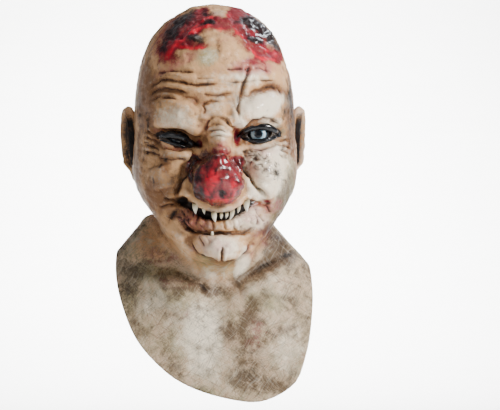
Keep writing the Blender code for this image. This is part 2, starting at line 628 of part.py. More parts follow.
def fangs(surface, into, tools, ivory):
    """Every fang, and the tool that sinks its socket into the gum."""
    sockets = []
    for name, row in FANGS.items():
        root, tip, radius = fang_ends(row, surface)
        add_object(name, fang_mesh(name, root, tip, radius, 0), into, ivory)
        socket = add_object(f"{name}_socket", fang_mesh(name, root, tip, radius, FANG_GAP), tools)
        sockets.append(hide_tool(socket))
    return sockets


def gum_pad(surface, trim, tools):
    """The thick casting behind the mouth, which holds the fangs' sockets."""
    ends = [end for row in FANGS.values() for end in fang_ends(row, surface)[:2]]
    half_width = max(abs(end.x) for end in ends) + GUM_MARGIN
    low, high = min(end.z for end in ends) - GUM_MARGIN, max(end.z for end in ends) + GUM_MARGIN
    middle = (low + high) / 2
    back = front_of(surface, 0, middle) + GUM_THICKNESS
    bm = bmesh.new()
    bmesh.ops.create_uvsphere(bm, u_segments=24, v_segments=12, radius=1)
    for v in bm.verts:
        across, behind, up = v.co.x, -v.co.z, v.co.y
        y = back - GUM_CURVE * (1 - behind)
        v.co = Vector((across * half_width, y, middle + up * (high - low) / 2))
    bmesh.ops.recalc_face_normals(bm, faces=bm.faces)
    pad = hide_tool(add_object("gum_pad", mesh_from(bm, "gum_pad"), tools))
    cut_or_join(pad, trim, "INTERSECT")
    return pad


def build():
    """Makes the whole mask."""
    clear_scene()
    parts, tools = collection("goblin_mask"), collection("tools")
    tools.hide_render = True
    points, centres = outer_skin()
    thin = thinned(grid_mesh("surface_guide", points), SURFACE_TRIANGLES, tools)
    thin.name = "mask_skin"
    surface = BVHTree.FromPolygons([v.co for v in thin.vertices], [p.vertices for p in thin.polygons])
    trim = half_wall_volume(thin, tools)
    skin = add_object("mask_skin", thin, parts, material("latex", (0.60, 0.47, 0.34), 0.55))
    shell = skin.modifiers.new("Wall", "SOLIDIFY")
    shell.thickness = WALL
    shell.offset = -1
    cut_or_join(skin, gum_pad(surface, trim, tools), "UNION")
    for side in (-1, 1):
        cut_or_join(skin, ear(side, points, trim, tools), "UNION")
    for name in EYES:
        cut_or_join(skin, almond(name, centres[name], tools), "DIFFERENCE")
        eye_insert(name, centres[name], parts)
        cut_or_join(skin, slit(name, surface, tools), "DIFFERENCE")
    ivory = material("cast_ivory", (0.80, 0.76, 0.62), 0.25)
    for socket in fangs(surface, parts, tools, ivory):
        cut_or_join(skin, socket, "DIFFERENCE")


build()
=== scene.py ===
# %% [markdown]
# # Dressing a pull-over goblin mask
# The mask is one moulded latex skin: a bald, wrinkled head with ears, a neck and a bib that lies on the chest.
# Two cast eyes sit behind its lids, and a row of small fangs stands in its gum. The imported CAD model gives the
# places and the main shapes. This script sculpts the same skin far more finely, cuts its wrinkles and wounds,
# and paints it as a mask maker does: a tan base, brown washes, pale dry brushing and wet reds. Some of the brown
# and black is painted shade, in the hollows and on the shaded side, and some of the pale and red is painted
# highlight.

# %% Load the fixed frame
import itertools
import math

import bmesh
import bpy
import numpy as np
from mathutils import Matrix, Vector
from mathutils.bvhtree import BVHTree


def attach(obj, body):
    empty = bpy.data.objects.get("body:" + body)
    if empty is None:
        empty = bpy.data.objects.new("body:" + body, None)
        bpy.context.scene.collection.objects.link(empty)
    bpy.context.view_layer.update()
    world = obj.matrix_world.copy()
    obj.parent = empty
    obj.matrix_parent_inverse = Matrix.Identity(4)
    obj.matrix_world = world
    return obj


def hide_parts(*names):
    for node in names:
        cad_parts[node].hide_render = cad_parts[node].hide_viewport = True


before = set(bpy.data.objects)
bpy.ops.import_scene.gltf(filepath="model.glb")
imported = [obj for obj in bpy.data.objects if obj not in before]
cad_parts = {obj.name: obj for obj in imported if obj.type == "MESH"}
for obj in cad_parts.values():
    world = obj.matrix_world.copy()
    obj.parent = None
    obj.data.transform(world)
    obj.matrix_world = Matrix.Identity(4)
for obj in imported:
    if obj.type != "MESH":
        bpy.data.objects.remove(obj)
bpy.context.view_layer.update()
MM = 0.001

# %% [markdown]
# ## Camera, light and floor
# The photograph looks almost straight at the face, from slightly above and a little to its left, with a long
# lens. A big soft key light from the upper right leaves white sheen on the right brow and cheek, and only a weak
# fill comes from the left, so that side stays in warm shade. A small cold window behind the mask puts glints on
# the wet wounds. The floor is a plain pale sweep of paper with a light of its own, which doesn't reach the mask.


# %% Small helpers for objects
def added(name, data):
    """A new object in the scene."""
    obj = bpy.data.objects.new(name, data)
    bpy.context.scene.collection.objects.link(obj)
    return obj


def mesh_from(bm, name):
    """Turns a bmesh into a mesh with smooth shading."""
    mesh = bpy.data.meshes.new(name)
    bm.to_mesh(mesh)
    bm.free()
    mesh.shade_smooth()
    return mesh


# %% The camera at the photograph's angle
PHOTO_WIDTH, PHOTO_HEIGHT = 500, 410
AIM = np.array([0.036, 0.0, -0.1985])              # metres: what lies in the middle of the photograph's frame
AZIMUTH, ELEVATION, DISTANCE, LENS, SENSOR = -4.0, 4.0, 3.0, 216.0, 36.0


def camera_axes():
    """The camera's right, up and backward directions."""
    a, e = math.radians(AZIMUTH), math.radians(ELEVATION)
    back = np.array([math.sin(a) * math.cos(e), -math.cos(a) * math.cos(e), math.sin(e)])
    right = np.array([math.cos(a), math.sin(a), 0.0])
    return right, np.cross(back, right), back


RIGHT, UP, BACK = camera_axes()
camera = added("camera", bpy.data.cameras.new("camera"))
camera.location = AIM + BACK * DISTANCE
camera.rotation_mode = "QUATERNION"
camera.rotation_quaternion = Vector(-BACK).to_track_quat("-Z", "Y")
camera.data.lens, camera.data.sensor_width = LENS, SENSOR
bpy.context.scene.camera = camera


def picture_of(points):
    """Where points show in the photograph's frame, in its pixels from the top left. One pixel is 1 mm here."""
    away = points - AIM
    depth = DISTANCE - away @ BACK
    scale = LENS / SENSOR * PHOTO_WIDTH
    return (PHOTO_WIDTH / 2 + scale * (away @ RIGHT) / depth,
            PHOTO_HEIGHT / 2 - scale * (away @ UP) / depth)


# %% Soft studio light
def area_light(name, place, size, power, tint, target=AIM):
    """A square soft light that looks at the mask, or at another target."""
    data = bpy.data.lights.new(name, "AREA")
    data.size, data.energy, data.color = size, power, tint
    lamp = added(name, data)
    lamp.location = place
    lamp.visible_camera = False
    lamp.rotation_mode = "QUATERNION"
    lamp.rotation_quaternion = (Vector(target) - Vector(place)).to_track_quat("-Z", "Y")
    return lamp


# Place and side in metres, power in watts, and tint.
area_light("key", (1.28, -0.95, 0.50), 0.42, 52, (1.0, 0.985, 0.96))
area_light("fill", (-1.3, -1.5, 0.1), 1.0, 5, (1.0, 0.98, 0.95))
area_light("top", (0.2, 0.1, 1.4), 0.7, 7, (1, 1, 1))
area_light("window", (0.95, 1.15, 0.95), 0.5, 12, (0.86, 0.93, 1.0))     # glints on the wet wounds
paper_light = area_light("paper_light", (0.1, 0.95, 0.95), 1.0, 62, (1, 1, 1), (0.1, 1.62, -0.32))
paper_light.data.spread = math.radians(80)          # kept off the mask

world = bpy.data.worlds.new("studio")
world.use_nodes = True
world.node_tree.nodes["Background"].inputs["Color"].default_value = (0.93, 0.95, 1.0, 1)
world.node_tree.nodes["Background"].inputs["Strength"].default_value = 0.28
bpy.context.scene.world = world


# %% Small helpers for materials
def srgb(code):
    """A hex colour as the eye reads it, turned to the linear values that shaders use, and opaque."""
    parts = [int(code[i:i + 2], 16) / 255 for i in (1, 3, 5)]
    return (*(c / 12.92 if c <= 0.04045 else ((c + 0.055) / 1.055) ** 2.4 for c in parts), 1.0)


def node(tree, kind, inputs=None, **settings):
    """Adds a node. inputs sets sockets by name or number, to a value or from another node's socket."""
    made = tree.nodes.new(kind)
    for key, value in settings.items():
        setattr(made, key, value)
    for key, value in (inputs or {}).items():
        if isinstance(value, bpy.types.NodeSocket):
            tree.links.new(value, made.inputs[key])
        else:
            made.inputs[key].default_value = value
    return made


def mixed(tree, factor, below, above, blend="MIX"):
    """The colour of one coat of paint over another."""
    return node(tree, "ShaderNodeMix", {"Factor": factor, 6: below, 7: above},
                data_type="RGBA", blend_type=blend).outputs[2]


def finish(name):
    """A new material, its node tree and its shader."""
    made = bpy.data.materials.new(name)
    made.use_nodes = True
    return made, made.node_tree, made.node_tree.nodes["Principled BSDF"]


# %% A pale floor that sweeps up behind
FLOOR_Z = -0.55
BEND, WALL_Y = 0.55, 1.65          # radius of the bend and how far back the paper hangs
turn = np.radians(np.linspace(0, 90, 33))
SWEEP = [(-1.6, 0.0)] + [(WALL_Y - BEND + BEND * math.sin(t), BEND - BEND * math.cos(t)) for t in turn]
SWEEP.append((WALL_Y, 0.56))       # y, height: as low as the photograph's view allows, to see over from behind
bm = bmesh.new()
edges = [[bm.verts.new((x, y, FLOOR_Z + z)) for y, z in SWEEP] for x in (-3.5, 3.5)]
for i in range(len(SWEEP) - 1):
    bm.faces.new((edges[0][i], edges[1][i], edges[1][i + 1], edges[0][i + 1]))
floor = added("floor", mesh_from(bm, "floor"))
paper, tree, shader = finish("matt_white_paper")   # seamless studio paper, dull and almost white
shader.inputs["Roughness"].default_value = 0.9
speck = node(tree, "ShaderNodeTexNoise", {"Scale": 60.0}).outputs[0]
tree.links.new(mixed(tree, speck, srgb("#f6f6f5"), srgb("#fbfbfa")), shader.inputs["Base Color"])
floor.data.materials.append(paper)

# %% [markdown]
# ## The skin's main form
# A head like this could be sculpted by hand, but a maker's template works as well: flat cross-sections from the
# crown to the hem with a smooth skin drawn through them. The sections, the raised forms of the face and the
# named sizes are those of the CAD model, so the fine skin lies where the plain solid does. Two places follow the
# photograph more closely, by a few millimetres: the ears are taller and lie closer to the head, and the edge of
# the left shoulder runs straight.

# %% Named sizes of the mask, in metres
HEAD_HEIGHT, HEAD_WIDTH, FACE_DEPTH, BACK_DEPTH = 0.250, 0.163, 0.098, 0.103
NECK_WIDTH, NECK_FRONT, NECK_BACK = 0.115, 0.052, 0.067
BIB_WIDTH, BIB_DROP, BIB_DEPTH, BIB_SWELL = 0.196, 0.140, 0.098, 0.009
WALL, RELIEF = 0.0022, 0.010
NOSE_WIDTH, NOSE_REACH = 0.050, 0.012
EYE_DIAMETER, EYE_SPACING, EYE_SINK, EYE_GAP, EYE_THICKNESS = 0.027, 0.080, 0.0185, 0.0012, 0.0084
LID_FILLET = 0.002
EAR_HEIGHT, EAR_WIDTH, EAR_THICKNESS, EAR_ANGLE, EAR_SINK, EAR_FRONT = 0.069, 0.034, 0.0085, 15.0, 0.0045, 0.012
HALF_HEAD, HALF_NECK, HALF_BIB = HEAD_WIDTH / 2, NECK_WIDTH / 2, BIB_WIDTH / 2
EYE_RADIUS, NOSE_RADIUS, CHIN_Z = EYE_DIAMETER / 2, NOSE_WIDTH / 2, WALL - HEAD_HEIGHT

# %% Cross-sections from the crown to the neck
# down_* is the share of the head's height at the face, the side and the back. The rest are shares of the half
# width and of the depths to the face and the back, and how much the corners are filled out.
HEAD_COLUMNS = ("down_face", "down_side", "down_back", "width", "face", "mid", "back", "square")
HEAD_SECTIONS = (
    (0.000, 0.000, 0.000, 0.000, -0.08, 0.08, 0.080, 0.00),
    (0.015, 0.015, 0.015, 0.270, 0.200, 0.07, 0.370, 0.02),
    (0.043, 0.043, 0.043, 0.450, 0.450, 0.06, 0.550, 0.04),
    (0.079, 0.079, 0.079, 0.607, 0.630, 0.05, 0.690, 0.05),
    (0.131, 0.131, 0.131, 0.742, 0.785, 0.04, 0.820, 0.06),
    (0.193, 0.193, 0.193, 0.840, 0.885, 0.03, 0.915, 0.07),
    (0.269, 0.269, 0.269, 0.908, 0.950, 0.02, 0.975, 0.08),
    (0.349, 0.349, 0.349, 0.951, 0.980, 0.00, 1.000, 0.08),
    (0.425, 0.425, 0.425, 0.975, 0.985, 0.00, 1.000, 0.08),
    (0.505, 0.505, 0.500, 0.982, 0.950, -0.02, 0.975, 0.08),
    (0.589, 0.585, 0.575, 0.994, 0.940, -0.05, 0.925, 0.07),
    (0.677, 0.657, 0.635, 1.000, 0.960, -0.10, 0.865, 0.06),
    (0.769, 0.713, 0.673, 0.970, 0.990, -0.18, 0.815, 0.04),
    (0.857, 0.761, 0.709, 0.908, 1.000, -0.25, 0.770, 0.02),
    (0.937, 0.797, 0.741, 0.834, 1.000, -0.29, 0.730, 0.00),
    (0.985, 0.821, 0.769, 0.773, 0.960, -0.29, 0.700, 0.00),
    (1.009, 0.837, 0.789, 0.730, 0.840, -0.21, 0.670, 0.00),
)
NECK_SECTIONS = (
    (1.017, 0.849, 0.809, 1.000, 1.270, -0.12, 1.000, 0.00),
    (1.049, 0.861, 0.837, 1.000, 1.060, 0.06, 0.985, 0.00),
    (1.089, 0.877, 0.869, 1.025, 1.000, 0.09, 1.000, 0.00),
    (1.125, 0.897, 0.913, 1.090, 1.060, 0.12, 1.045, 0.00),
)
NECK_SLANT = (0.002, 0.020, 0.033, 0.042)    # how much higher each neck section runs at -X
NECK_SPREAD = (0.03, 0.08, 0.12, 0.13)       # how much further out it runs there
# The bib's cut edge: azimuth in degrees, then shares of the bib's half width, depth, drop and swell.
HEM = (
    (-180, 0.00, 1.00, 0.57, 0.9), (-150, -0.46, 0.93, 0.49, 0.9), (-120, -0.86, 0.58, 0.22, 0.6),
    (-90, -0.985, 0.05, -0.03, 0.0), (-72, -1.01, -0.30, 0.12, 0.4), (-60, -0.965, -0.55, 0.30, 0.8),
    (-47, -0.82, -0.76, 0.545, 1.0), (-33, -0.57, -0.89, 0.74, 1.0), (-17, -0.28, -0.96, 0.865, 1.0),
    (0, 0.10, -1.00, 0.945, 1.0), (14, 0.43, -0.99, 0.962, 0.9), (29, 0.74, -0.93, 0.852, 0.8),
    (43, 0.86, -0.84, 0.68, 0.6), (56, 0.935, -0.68, 0.47, 0.3), (72, 0.975, -0.38, 0.23, 0.1),
    (90, 0.955, 0.05, 0.07, 0.0), (120, 0.86, 0.58, 0.24, 0.5), (150, 0.46, 0.93, 0.49, 0.9),
    (180, 0.00, 1.00, 0.57, 0.9),
)
SWELL_PROFILE = ((0.25, 1.00), (0.50, 0.62), (0.75, 0.15), (1.00, 0.00))

# %% Raised and sunken forms of the face, with the folds that the solid has too
# FORMS: the middle's x, half width and half height as shares of half the head's width, how far down it lies as a
# share of the head's height, the tilt in degrees, and the height as a share of RELIEF. EYE_FORMS say the same in
# eye diameters, from each eye's middle. FOLDS: depth as a share of RELIEF, width, and points along the fold.
FORMS = {
    "glabella": (0.01, 0.440, 0.26, 0.22, 0, 0.60),
    "bridge": (0.01, 0.540, 0.17, 0.36, 0, 1.40),
    "cheek_left": (-0.70, 0.690, 0.34, 0.46, 6, 0.95),
    "cheek_right": (0.62, 0.672, 0.34, 0.44, -8, 1.20),
    "muzzle": (0.01, 0.752, 0.58, 0.34, 0, 1.00),
    "mouth_pit_left": (-0.47, 0.758, 0.14, 0.10, 10, -0.75),
    "mouth_pit_right": (0.46, 0.762, 0.14, 0.10, -10, -0.60),
    "lower_lip": (0.01, 0.848, 0.48, 0.14, 0, 0.35),
    "chin": (0.01, 0.938, 0.37, 0.25, 0, 1.00),
    "wound_left": (-0.42, 0.135, 0.46, 0.30, 32, -0.35),
    "wound_right": (0.52, 0.150, 0.46, 0.30, -36, -0.35),
    "throat_notch": (0.02, 1.145, 0.17, 0.12, 0, -0.55),
    "chest_left": (-0.58, 1.270, 0.62, 0.50, 0, 0.45),
    "chest_right": (0.60, 1.265, 0.62, 0.50, 0, 0.45),
}
EYE_FORMS = {
    "eye_squinting": ((0.10, -1.02, 1.39, 0.60, -18, 0.90), (0.03, -0.02, 1.15, 0.60, -12, -1.30),
                      (-0.77, 0.03, 0.33, 0.45, 0, -0.75), (0.00, 0.60, 1.03, 0.33, -8, 0.35)),
    "eye_open": ((-0.04, -0.85, 1.33, 0.60, 17, 1.00), (-0.04, 0.02, 1.15, 0.63, 4, -1.30),
                 (-0.77, 0.14, 0.33, 0.45, 0, -0.75), (0.02, 0.60, 1.03, 0.36, 6, 0.40)),
}
FOLDS = {
    "laugh_line_left": (0.65, 0.050, ((-0.22, 0.550), (-0.34, 0.590), (-0.43, 0.645), (-0.48, 0.700),
                                      (-0.57, 0.745))),
    "laugh_line_right": (0.65, 0.050, ((0.22, 0.550), (0.32, 0.605), (0.37, 0.665), (0.47, 0.725),
                                       (0.62, 0.765))),
    "lip_edge": (-0.40, 0.055, ((-0.47, 0.728), (-0.32, 0.748), (-0.17, 0.774), (0.00, 0.788), (0.17, 0.774),
                                (0.30, 0.742), (0.47, 0.722))),
    "mouth": (0.55, 0.060, ((-0.52, 0.752), (-0.32, 0.782), (-0.17, 0.812), (0.00, 0.826), (0.17, 0.810),
                            (0.32, 0.778), (0.50, 0.756))),
    "chin_fold": (0.35, 0.050, ((-0.46, 0.842), (-0.28, 0.868), (-0.08, 0.880), (0.14, 0.880), (0.34, 0.868),
                                (0.48, 0.842))),
    "jaw_cord_left": (-0.40, 0.070, ((-0.84, 0.780), (-0.62, 0.870), (-0.40, 0.985), (-0.25, 1.080))),
    "jaw_cord_right": (-0.35, 0.070, ((0.70, 0.850), (0.42, 0.960), (0.27, 1.050), (0.20, 1.090))),
    "collar_fold_left": (0.35, 0.070, ((-1.22, 1.020), (-0.82, 1.036), (-0.46, 1.052), (-0.19, 1.096))),
    "collar_bone_left": (-0.40, 0.110, ((-1.18, 1.062), (-0.80, 1.076), (-0.46, 1.098), (-0.20, 1.135))),
    "collar_fold_right": (0.60, 0.070, ((1.02, 0.957), (0.74, 1.004), (0.52, 1.043), (0.23, 1.095))),
    "collar_bone_right": (-0.50, 0.110, ((1.04, 1.010), (0.76, 1.052), (0.52, 1.088), (0.26, 1.135))),
}
NOSE_X, NOSE_DOWN, NOSE_ROOT, NOSE_FAIRING = -0.04, 0.672, 0.95, 0.72
NOSE_WRAP, BRIDGE_WRAP = 112, 70
EAR_DOWN, EAR_LEAN, EAR_FLARE, EAR_ROOT = 0.570, 0.10, 0.06, 0.40
EYE_COLUMNS = ("side", "down", "half_width", "upper", "lower", "tilt")
EYES = {"eye_squinting": (-1, 0.525, 0.86, 0.30, 0.26, -15), "eye_open": (1, 0.505, 0.86, 0.50, 0.42, 5)}


# %% Curves through tables
def eased(low, high, value):
    """0 below low, 1 above high, and a smooth rise between them."""
    share = np.clip((value - low) / (high - low), 0, 1)
    return share * share * (3 - 2 * share)


def through(values, place):
    """Catmull-Rom curve through the values of axis 0, read at fractional places."""
    values = np.asarray(values, float)
    last = len(values) - 1
    start = np.clip(np.floor(place).astype(int), 0, last - 1)
    t = (place - start).reshape(-1, *([1] * (values.ndim - 1)))
    before, here = values[np.maximum(start - 1, 0)], values[start]
    there, after = values[start + 1], values[np.minimum(start + 2, last)]
    return 0.5 * (2 * here + (there - before) * t + (2 * before - 5 * here + 4 * there - after) * t**2
                  + (3 * here - before - 3 * there + after) * t**3)


# %% Sections, hem and the smooth head between them
COLUMNS = 232
FRONT_CROWDING = 0.62
# How far apart the rows lie along the face's middle, in mm: fine on the face, wider over the crown and the bib.
ROW_PLACES = (0.0, 6.0, 7.5, 16.0, 18.0, 24.0)
ROW_SPACING = (1.8, 1.3, 1.0, 1.0, 1.9, 2.2)


def ring(section, width, face, back, u):
    """One closed cross-section, at azimuths u from the face towards +X."""
    s = dict(zip(HEAD_COLUMNS, section))
    cos, sin = np.cos(u), np.sin(u)
    in_front = cos > 0
    mid_y = s["mid"] * back
    reach = np.where(in_front, s["face"] * face + mid_y, s["back"] * back - mid_y)
    down = s["down_side"] + np.where(in_front, s["down_face"] - s["down_side"],
                                     s["down_back"] - s["down_side"]) * cos**2
    x = s["width"] * width * sin * (1 + s["square"] * cos**2)
    y = mid_y - reach * cos * (1 + s["square"] * sin**2)
    return np.stack([x, y, WALL - down * HEAD_HEIGHT], axis=1)


def section_rings(u):
    """Every section from the crown to the hem."""
    rings = [ring(s, HALF_HEAD, FACE_DEPTH, BACK_DEPTH, u) for s in HEAD_SECTIONS]
    to_minus_x = np.clip(-np.sin(u), 0, 1) ** 2
    for section, slant, spread in zip(NECK_SECTIONS, NECK_SLANT, NECK_SPREAD):
        points = ring(section, HALF_NECK, NECK_FRONT, NECK_BACK, u)
        points[:, 2] += slant * HEAD_HEIGHT * to_minus_x
        points[:, 0] -= spread * HALF_NECK * to_minus_x
        rings.append(points)
    table = np.array(HEM, float)
    place = np.interp(np.degrees(u), table[:, 0], np.arange(len(table)))
    x, y, drop, swell = through(table[:, 1:], place).T
    neck, edge = rings[-1], np.stack([x * HALF_BIB, y * BIB_DEPTH, CHIN_Z - drop * BIB_DROP], axis=1)
    outward = np.stack([np.sin(u), -np.cos(u), np.zeros_like(u)], axis=1)
    run = (edge - neck) / np.linalg.norm(edge - neck, axis=1, keepdims=True)
    rise = outward - (outward * run).sum(1, keepdims=True) * run
    rise /= np.linalg.norm(rise, axis=1, keepdims=True)
    for down, share in SWELL_PROFILE:
        rings.append(neck + (edge - neck) * down + rise * swell[:, None] * BIB_SWELL * share)
    return rings


def smooth_form():
    """The skin without its face: azimuths, the rows' places among the sections, and a grid of points."""
    even = np.linspace(-math.pi, math.pi, COLUMNS, endpoint=False)
    u = even - FRONT_CROWDING * np.sin(even)
    rings = section_rings(u)
    dense = np.linspace(0, len(rings) - 1, 3000)
    face_line = through([r[COLUMNS // 2] for r in rings], dense)
    step = np.linalg.norm(np.diff(face_line, axis=0), axis=1)
    count = np.concatenate([[0], np.cumsum(step / (np.interp(dense[1:], ROW_PLACES, ROW_SPACING) * MM))])
    rows = int(count[-1]) + 1
    places = np.interp(np.linspace(0, count[-1], rows), count, dense)
    return u, places, through(rings, places)


U, PLACES, SMOOTH = smooth_form()
print("skin grid:", SMOOTH.shape[:2], "outer triangles:", 2 * SMOOTH.shape[0] * COLUMNS)


# %% Forms, lids and nose, as on the solid
def distance_along(x, z, corners):
    """How far each (x, z) lies from a line through the corners, and how far along it, as a share."""
    nearest, along = np.full(x.shape, np.inf), np.zeros(x.shape)
    pieces = len(corners) - 1
    for i, (a, b) in enumerate(zip(corners[:-1], corners[1:])):
        run = b - a
        t = np.clip(((x - a[0]) * run[0] + (z - a[1]) * run[1]) / (run @ run), 0, 1)
        away = np.hypot(x - a[0] - t * run[0], z - a[1] - t * run[1])
        closer = away < nearest
        nearest, along = np.where(closer, away, nearest), np.where(closer, (i + t) / pieces, along)
    return nearest, along


def smooth_line(points):
    """A line through the points with three more corners between each two."""
    return through(np.array(points, float), np.linspace(0, len(points) - 1, 4 * len(points) - 3))


def eye_place(name):
    """An eye's side, and the x and z of its middle."""
    side, down = EYES[name][:2]
    return side, side * EYE_SPACING / 2, WALL - down * HEAD_HEIGHT


def mound(x, z, half_width, half_height, tilt):
    """A soft round hill, 1 at its middle and 0 past its half sizes. The tilt is anticlockwise, in degrees."""
    cos, sin = math.cos(math.radians(tilt)), math.sin(math.radians(tilt))
    across, up = (x * cos + z * sin) / half_width, (z * cos - x * sin) / half_height
    return np.clip(1 - across**2 - up**2, 0, 1) ** 1.5


def relief(x, z):
    """How far the face stands in front of the smooth head."""
    rise = np.zeros(x.shape)
    for mid_x, down, half_width, half_height, tilt, height in FORMS.values():
        rise += height * mound(x - mid_x * HALF_HEAD, z - WALL + down * HEAD_HEIGHT, half_width * HALF_HEAD,
                               half_height * HALF_HEAD, tilt)
    for name, rows in EYE_FORMS.items():
        side, eye_x, eye_z = eye_place(name)
        for mid_x, down, half_width, half_height, tilt, height in rows:
            rise += height * mound(x - eye_x - side * mid_x * EYE_DIAMETER, z - eye_z + down * EYE_DIAMETER,
                                   half_width * EYE_DIAMETER, half_height * EYE_DIAMETER, tilt)
    for depth, width, points in FOLDS.values():
        corners = smooth_line(points) * np.array([HALF_HEAD, -HEAD_HEIGHT]) + np.array([0, WALL])
        away, along = distance_along(x, z, corners)
        fade = eased(0, 0.2, along) * eased(0, 0.2, 1 - along)
        rise -= depth * np.exp(-((away / (width * HALF_HEAD)) ** 2)) * fade
    return rise * RELIEF


def forward_of(points, x, z):
    """How far forward the front of a grid of points lies at (x, z)."""
    front = points.reshape(-1, 3)
    front = front[front[:, 1] < 0]
    near = np.argsort(np.hypot(front[:, 0] - x, front[:, 2] - z))[:4]
    return -float(front[near, 1].mean())


EYE_CENTRES = {}
for name in EYES:
    _, x, z = eye_place(name)
    EYE_CENTRES[name] = np.array([x, EYE_SINK - forward_of(SMOOTH, x, z), z])
print("eye centres, mm:", {n: np.round(c / MM, 1).tolist() for n, c in EYE_CENTRES.items()})


def with_lids(points):
    """Pushes the skin forward over each eye."""
    x, z = points[..., 0], points[..., 2]
    lid = EYE_RADIUS + EYE_GAP + WALL * 1.12
    for centre in EYE_CENTRES.values():
        away = np.hypot(x - centre[0], z - centre[2])
        dome = centre[1] - np.sqrt(np.clip(lid**2 - away**2, 0, None))
        near = (away < lid) & (points[..., 1] < 0)
        step = np.clip(0.5 + (points[..., 1] - dome) / (2 * LID_FILLET), 0, 1)
        faired = points[..., 1] * (1 - step) + dome * step - LID_FILLET * step * (1 - step)
        points[..., 1] = np.where(near, faired, points[..., 1])
    return points


def with_nose(points):
    """Wraps the disc of skin in the middle of the face round a ball, and gives how much each point is nose.

    theta goes round the disc and phi out from the ball's front, less far towards the bridge.
    """
    mid_x, mid_z = NOSE_X * HALF_HEAD, WALL - NOSE_DOWN * HEAD_HEIGHT
    x, z = points[..., 0] - mid_x, points[..., 2] - mid_z
    r = np.hypot(x, z) / (NOSE_RADIUS * NOSE_ROOT)
    theta = np.arctan2(z, x)
    reach = np.radians(NOSE_WRAP - (NOSE_WRAP - BRIDGE_WRAP) * eased(0.1, 1.0, np.sin(theta)))
    phi = np.minimum(r, 1) * reach
    mid_y = -forward_of(points, mid_x, mid_z) - NOSE_REACH
    high = np.sin(phi) * np.sin(theta)
    pinch = 1.06 - 0.36 * eased(-0.3, 1.0, high)                        # narrower towards the root
    tall = np.where(high > 0, 1 + 0.20 * eased(0.1, 1.0, high), 1.06)      # and longer there
    ball = np.stack([mid_x + NOSE_RADIUS * pinch * np.sin(phi) * np.cos(theta),
                     mid_y - NOSE_RADIUS * np.cos(phi),
                     mid_z + NOSE_RADIUS * tall * high], axis=-1)
    hold = eased(1.0, NOSE_FAIRING, r) * (np.cos(U) > 0)[None, :]
    return points * (1 - hold[..., None]) + ball * hold[..., None], hold


FACING = eased(0.05, 0.40, np.cos(U))[None, :]
formed = SMOOTH.copy()
formed[..., 1] -= relief(formed[..., 0], formed[..., 2]) * FACING
formed, NOSE = with_nose(with_lids(formed))

# %% [markdown]
# ## Wrinkles, lumps and wounds
# The real skin was poured into a mould of a sculpted head, so every crease is crisp and has a soft swelling
# beside it. Each crease here is a short line of points in the photograph's frame. The skin is pressed in along
# it and raised a little on both sides, in the direction that the surface faces. Lumps and pits are round hills.
# The order is a sculptor's, from large to small: broad ridges, creases, lumps, the ragged rims of the wounds, and
# last a fine crumple from smooth noise, which no old skin is without.


# %% Which way the skin faces, and smooth noise
def facing_of(points):
    """The outward direction of a closed grid at each point."""
    down = np.gradient(points, axis=0)
    across = np.roll(points, -1, axis=1) - np.roll(points, 1, axis=1)
    normal = np.cross(down, across)
    length = np.linalg.norm(normal, axis=-1, keepdims=True)
    normal = np.where(length > 1e-12, normal / np.maximum(length, 1e-12), np.array([0.0, 0.0, 1.0]))
    normal[0] = (0, 0, 1)
    return normal


def grain(points, size, seed=0):
    """Smooth noise from -1 to 1 that changes over about size metres, the same on every run."""
    place = points / size + 17.3 * seed
    cell = np.floor(place).astype(np.int64)
    t = place - cell
    t = t * t * (3 - 2 * t)
    total = np.zeros(points.shape[:-1])
    for corner in itertools.product((0, 1), repeat=3):
        c = cell + np.array(corner)
        mix = (c[..., 0] * 73856093) ^ (c[..., 1] * 19349663) ^ (c[..., 2] * 83492791) ^ (seed * 265443)
        mix = (mix ^ (mix >> 13)) * 1274126177
        value = ((mix ^ (mix >> 16)) & 0xFFFF) / 32767.5 - 1
        weight = np.prod(np.where(np.array(corner) == 1, t, 1 - t), axis=-1)
        total += weight * value
    return total


PX, PZ = picture_of(formed)
PZ = -PZ                         # so that up is positive, as for the forms

# %% Which part of the mask a point belongs to
# PLACES counts the sections from the crown: 16 lies under the chin, 20 where the neck ends and 24 on the hem.
EVERYWHERE = np.ones(PX.shape)
ON_FACE = eased(0.10, 0.35, np.cos(U))[None, :] * EVERYWHERE          # 1 on the front, 0 from the ears back
HEAD_PART = eased(17.5, 16.0, PLACES)[:, None] * EVERYWHERE           # 1 from the crown to the chin
BIB_PART = eased(18.5, 20.5, PLACES)[:, None] * EVERYWHERE            # 1 from the shoulders to the hem
SOFT = eased(16.9, 18.4, PLACES)[:, None]     # the bib's rows lie further apart, so all is softer there

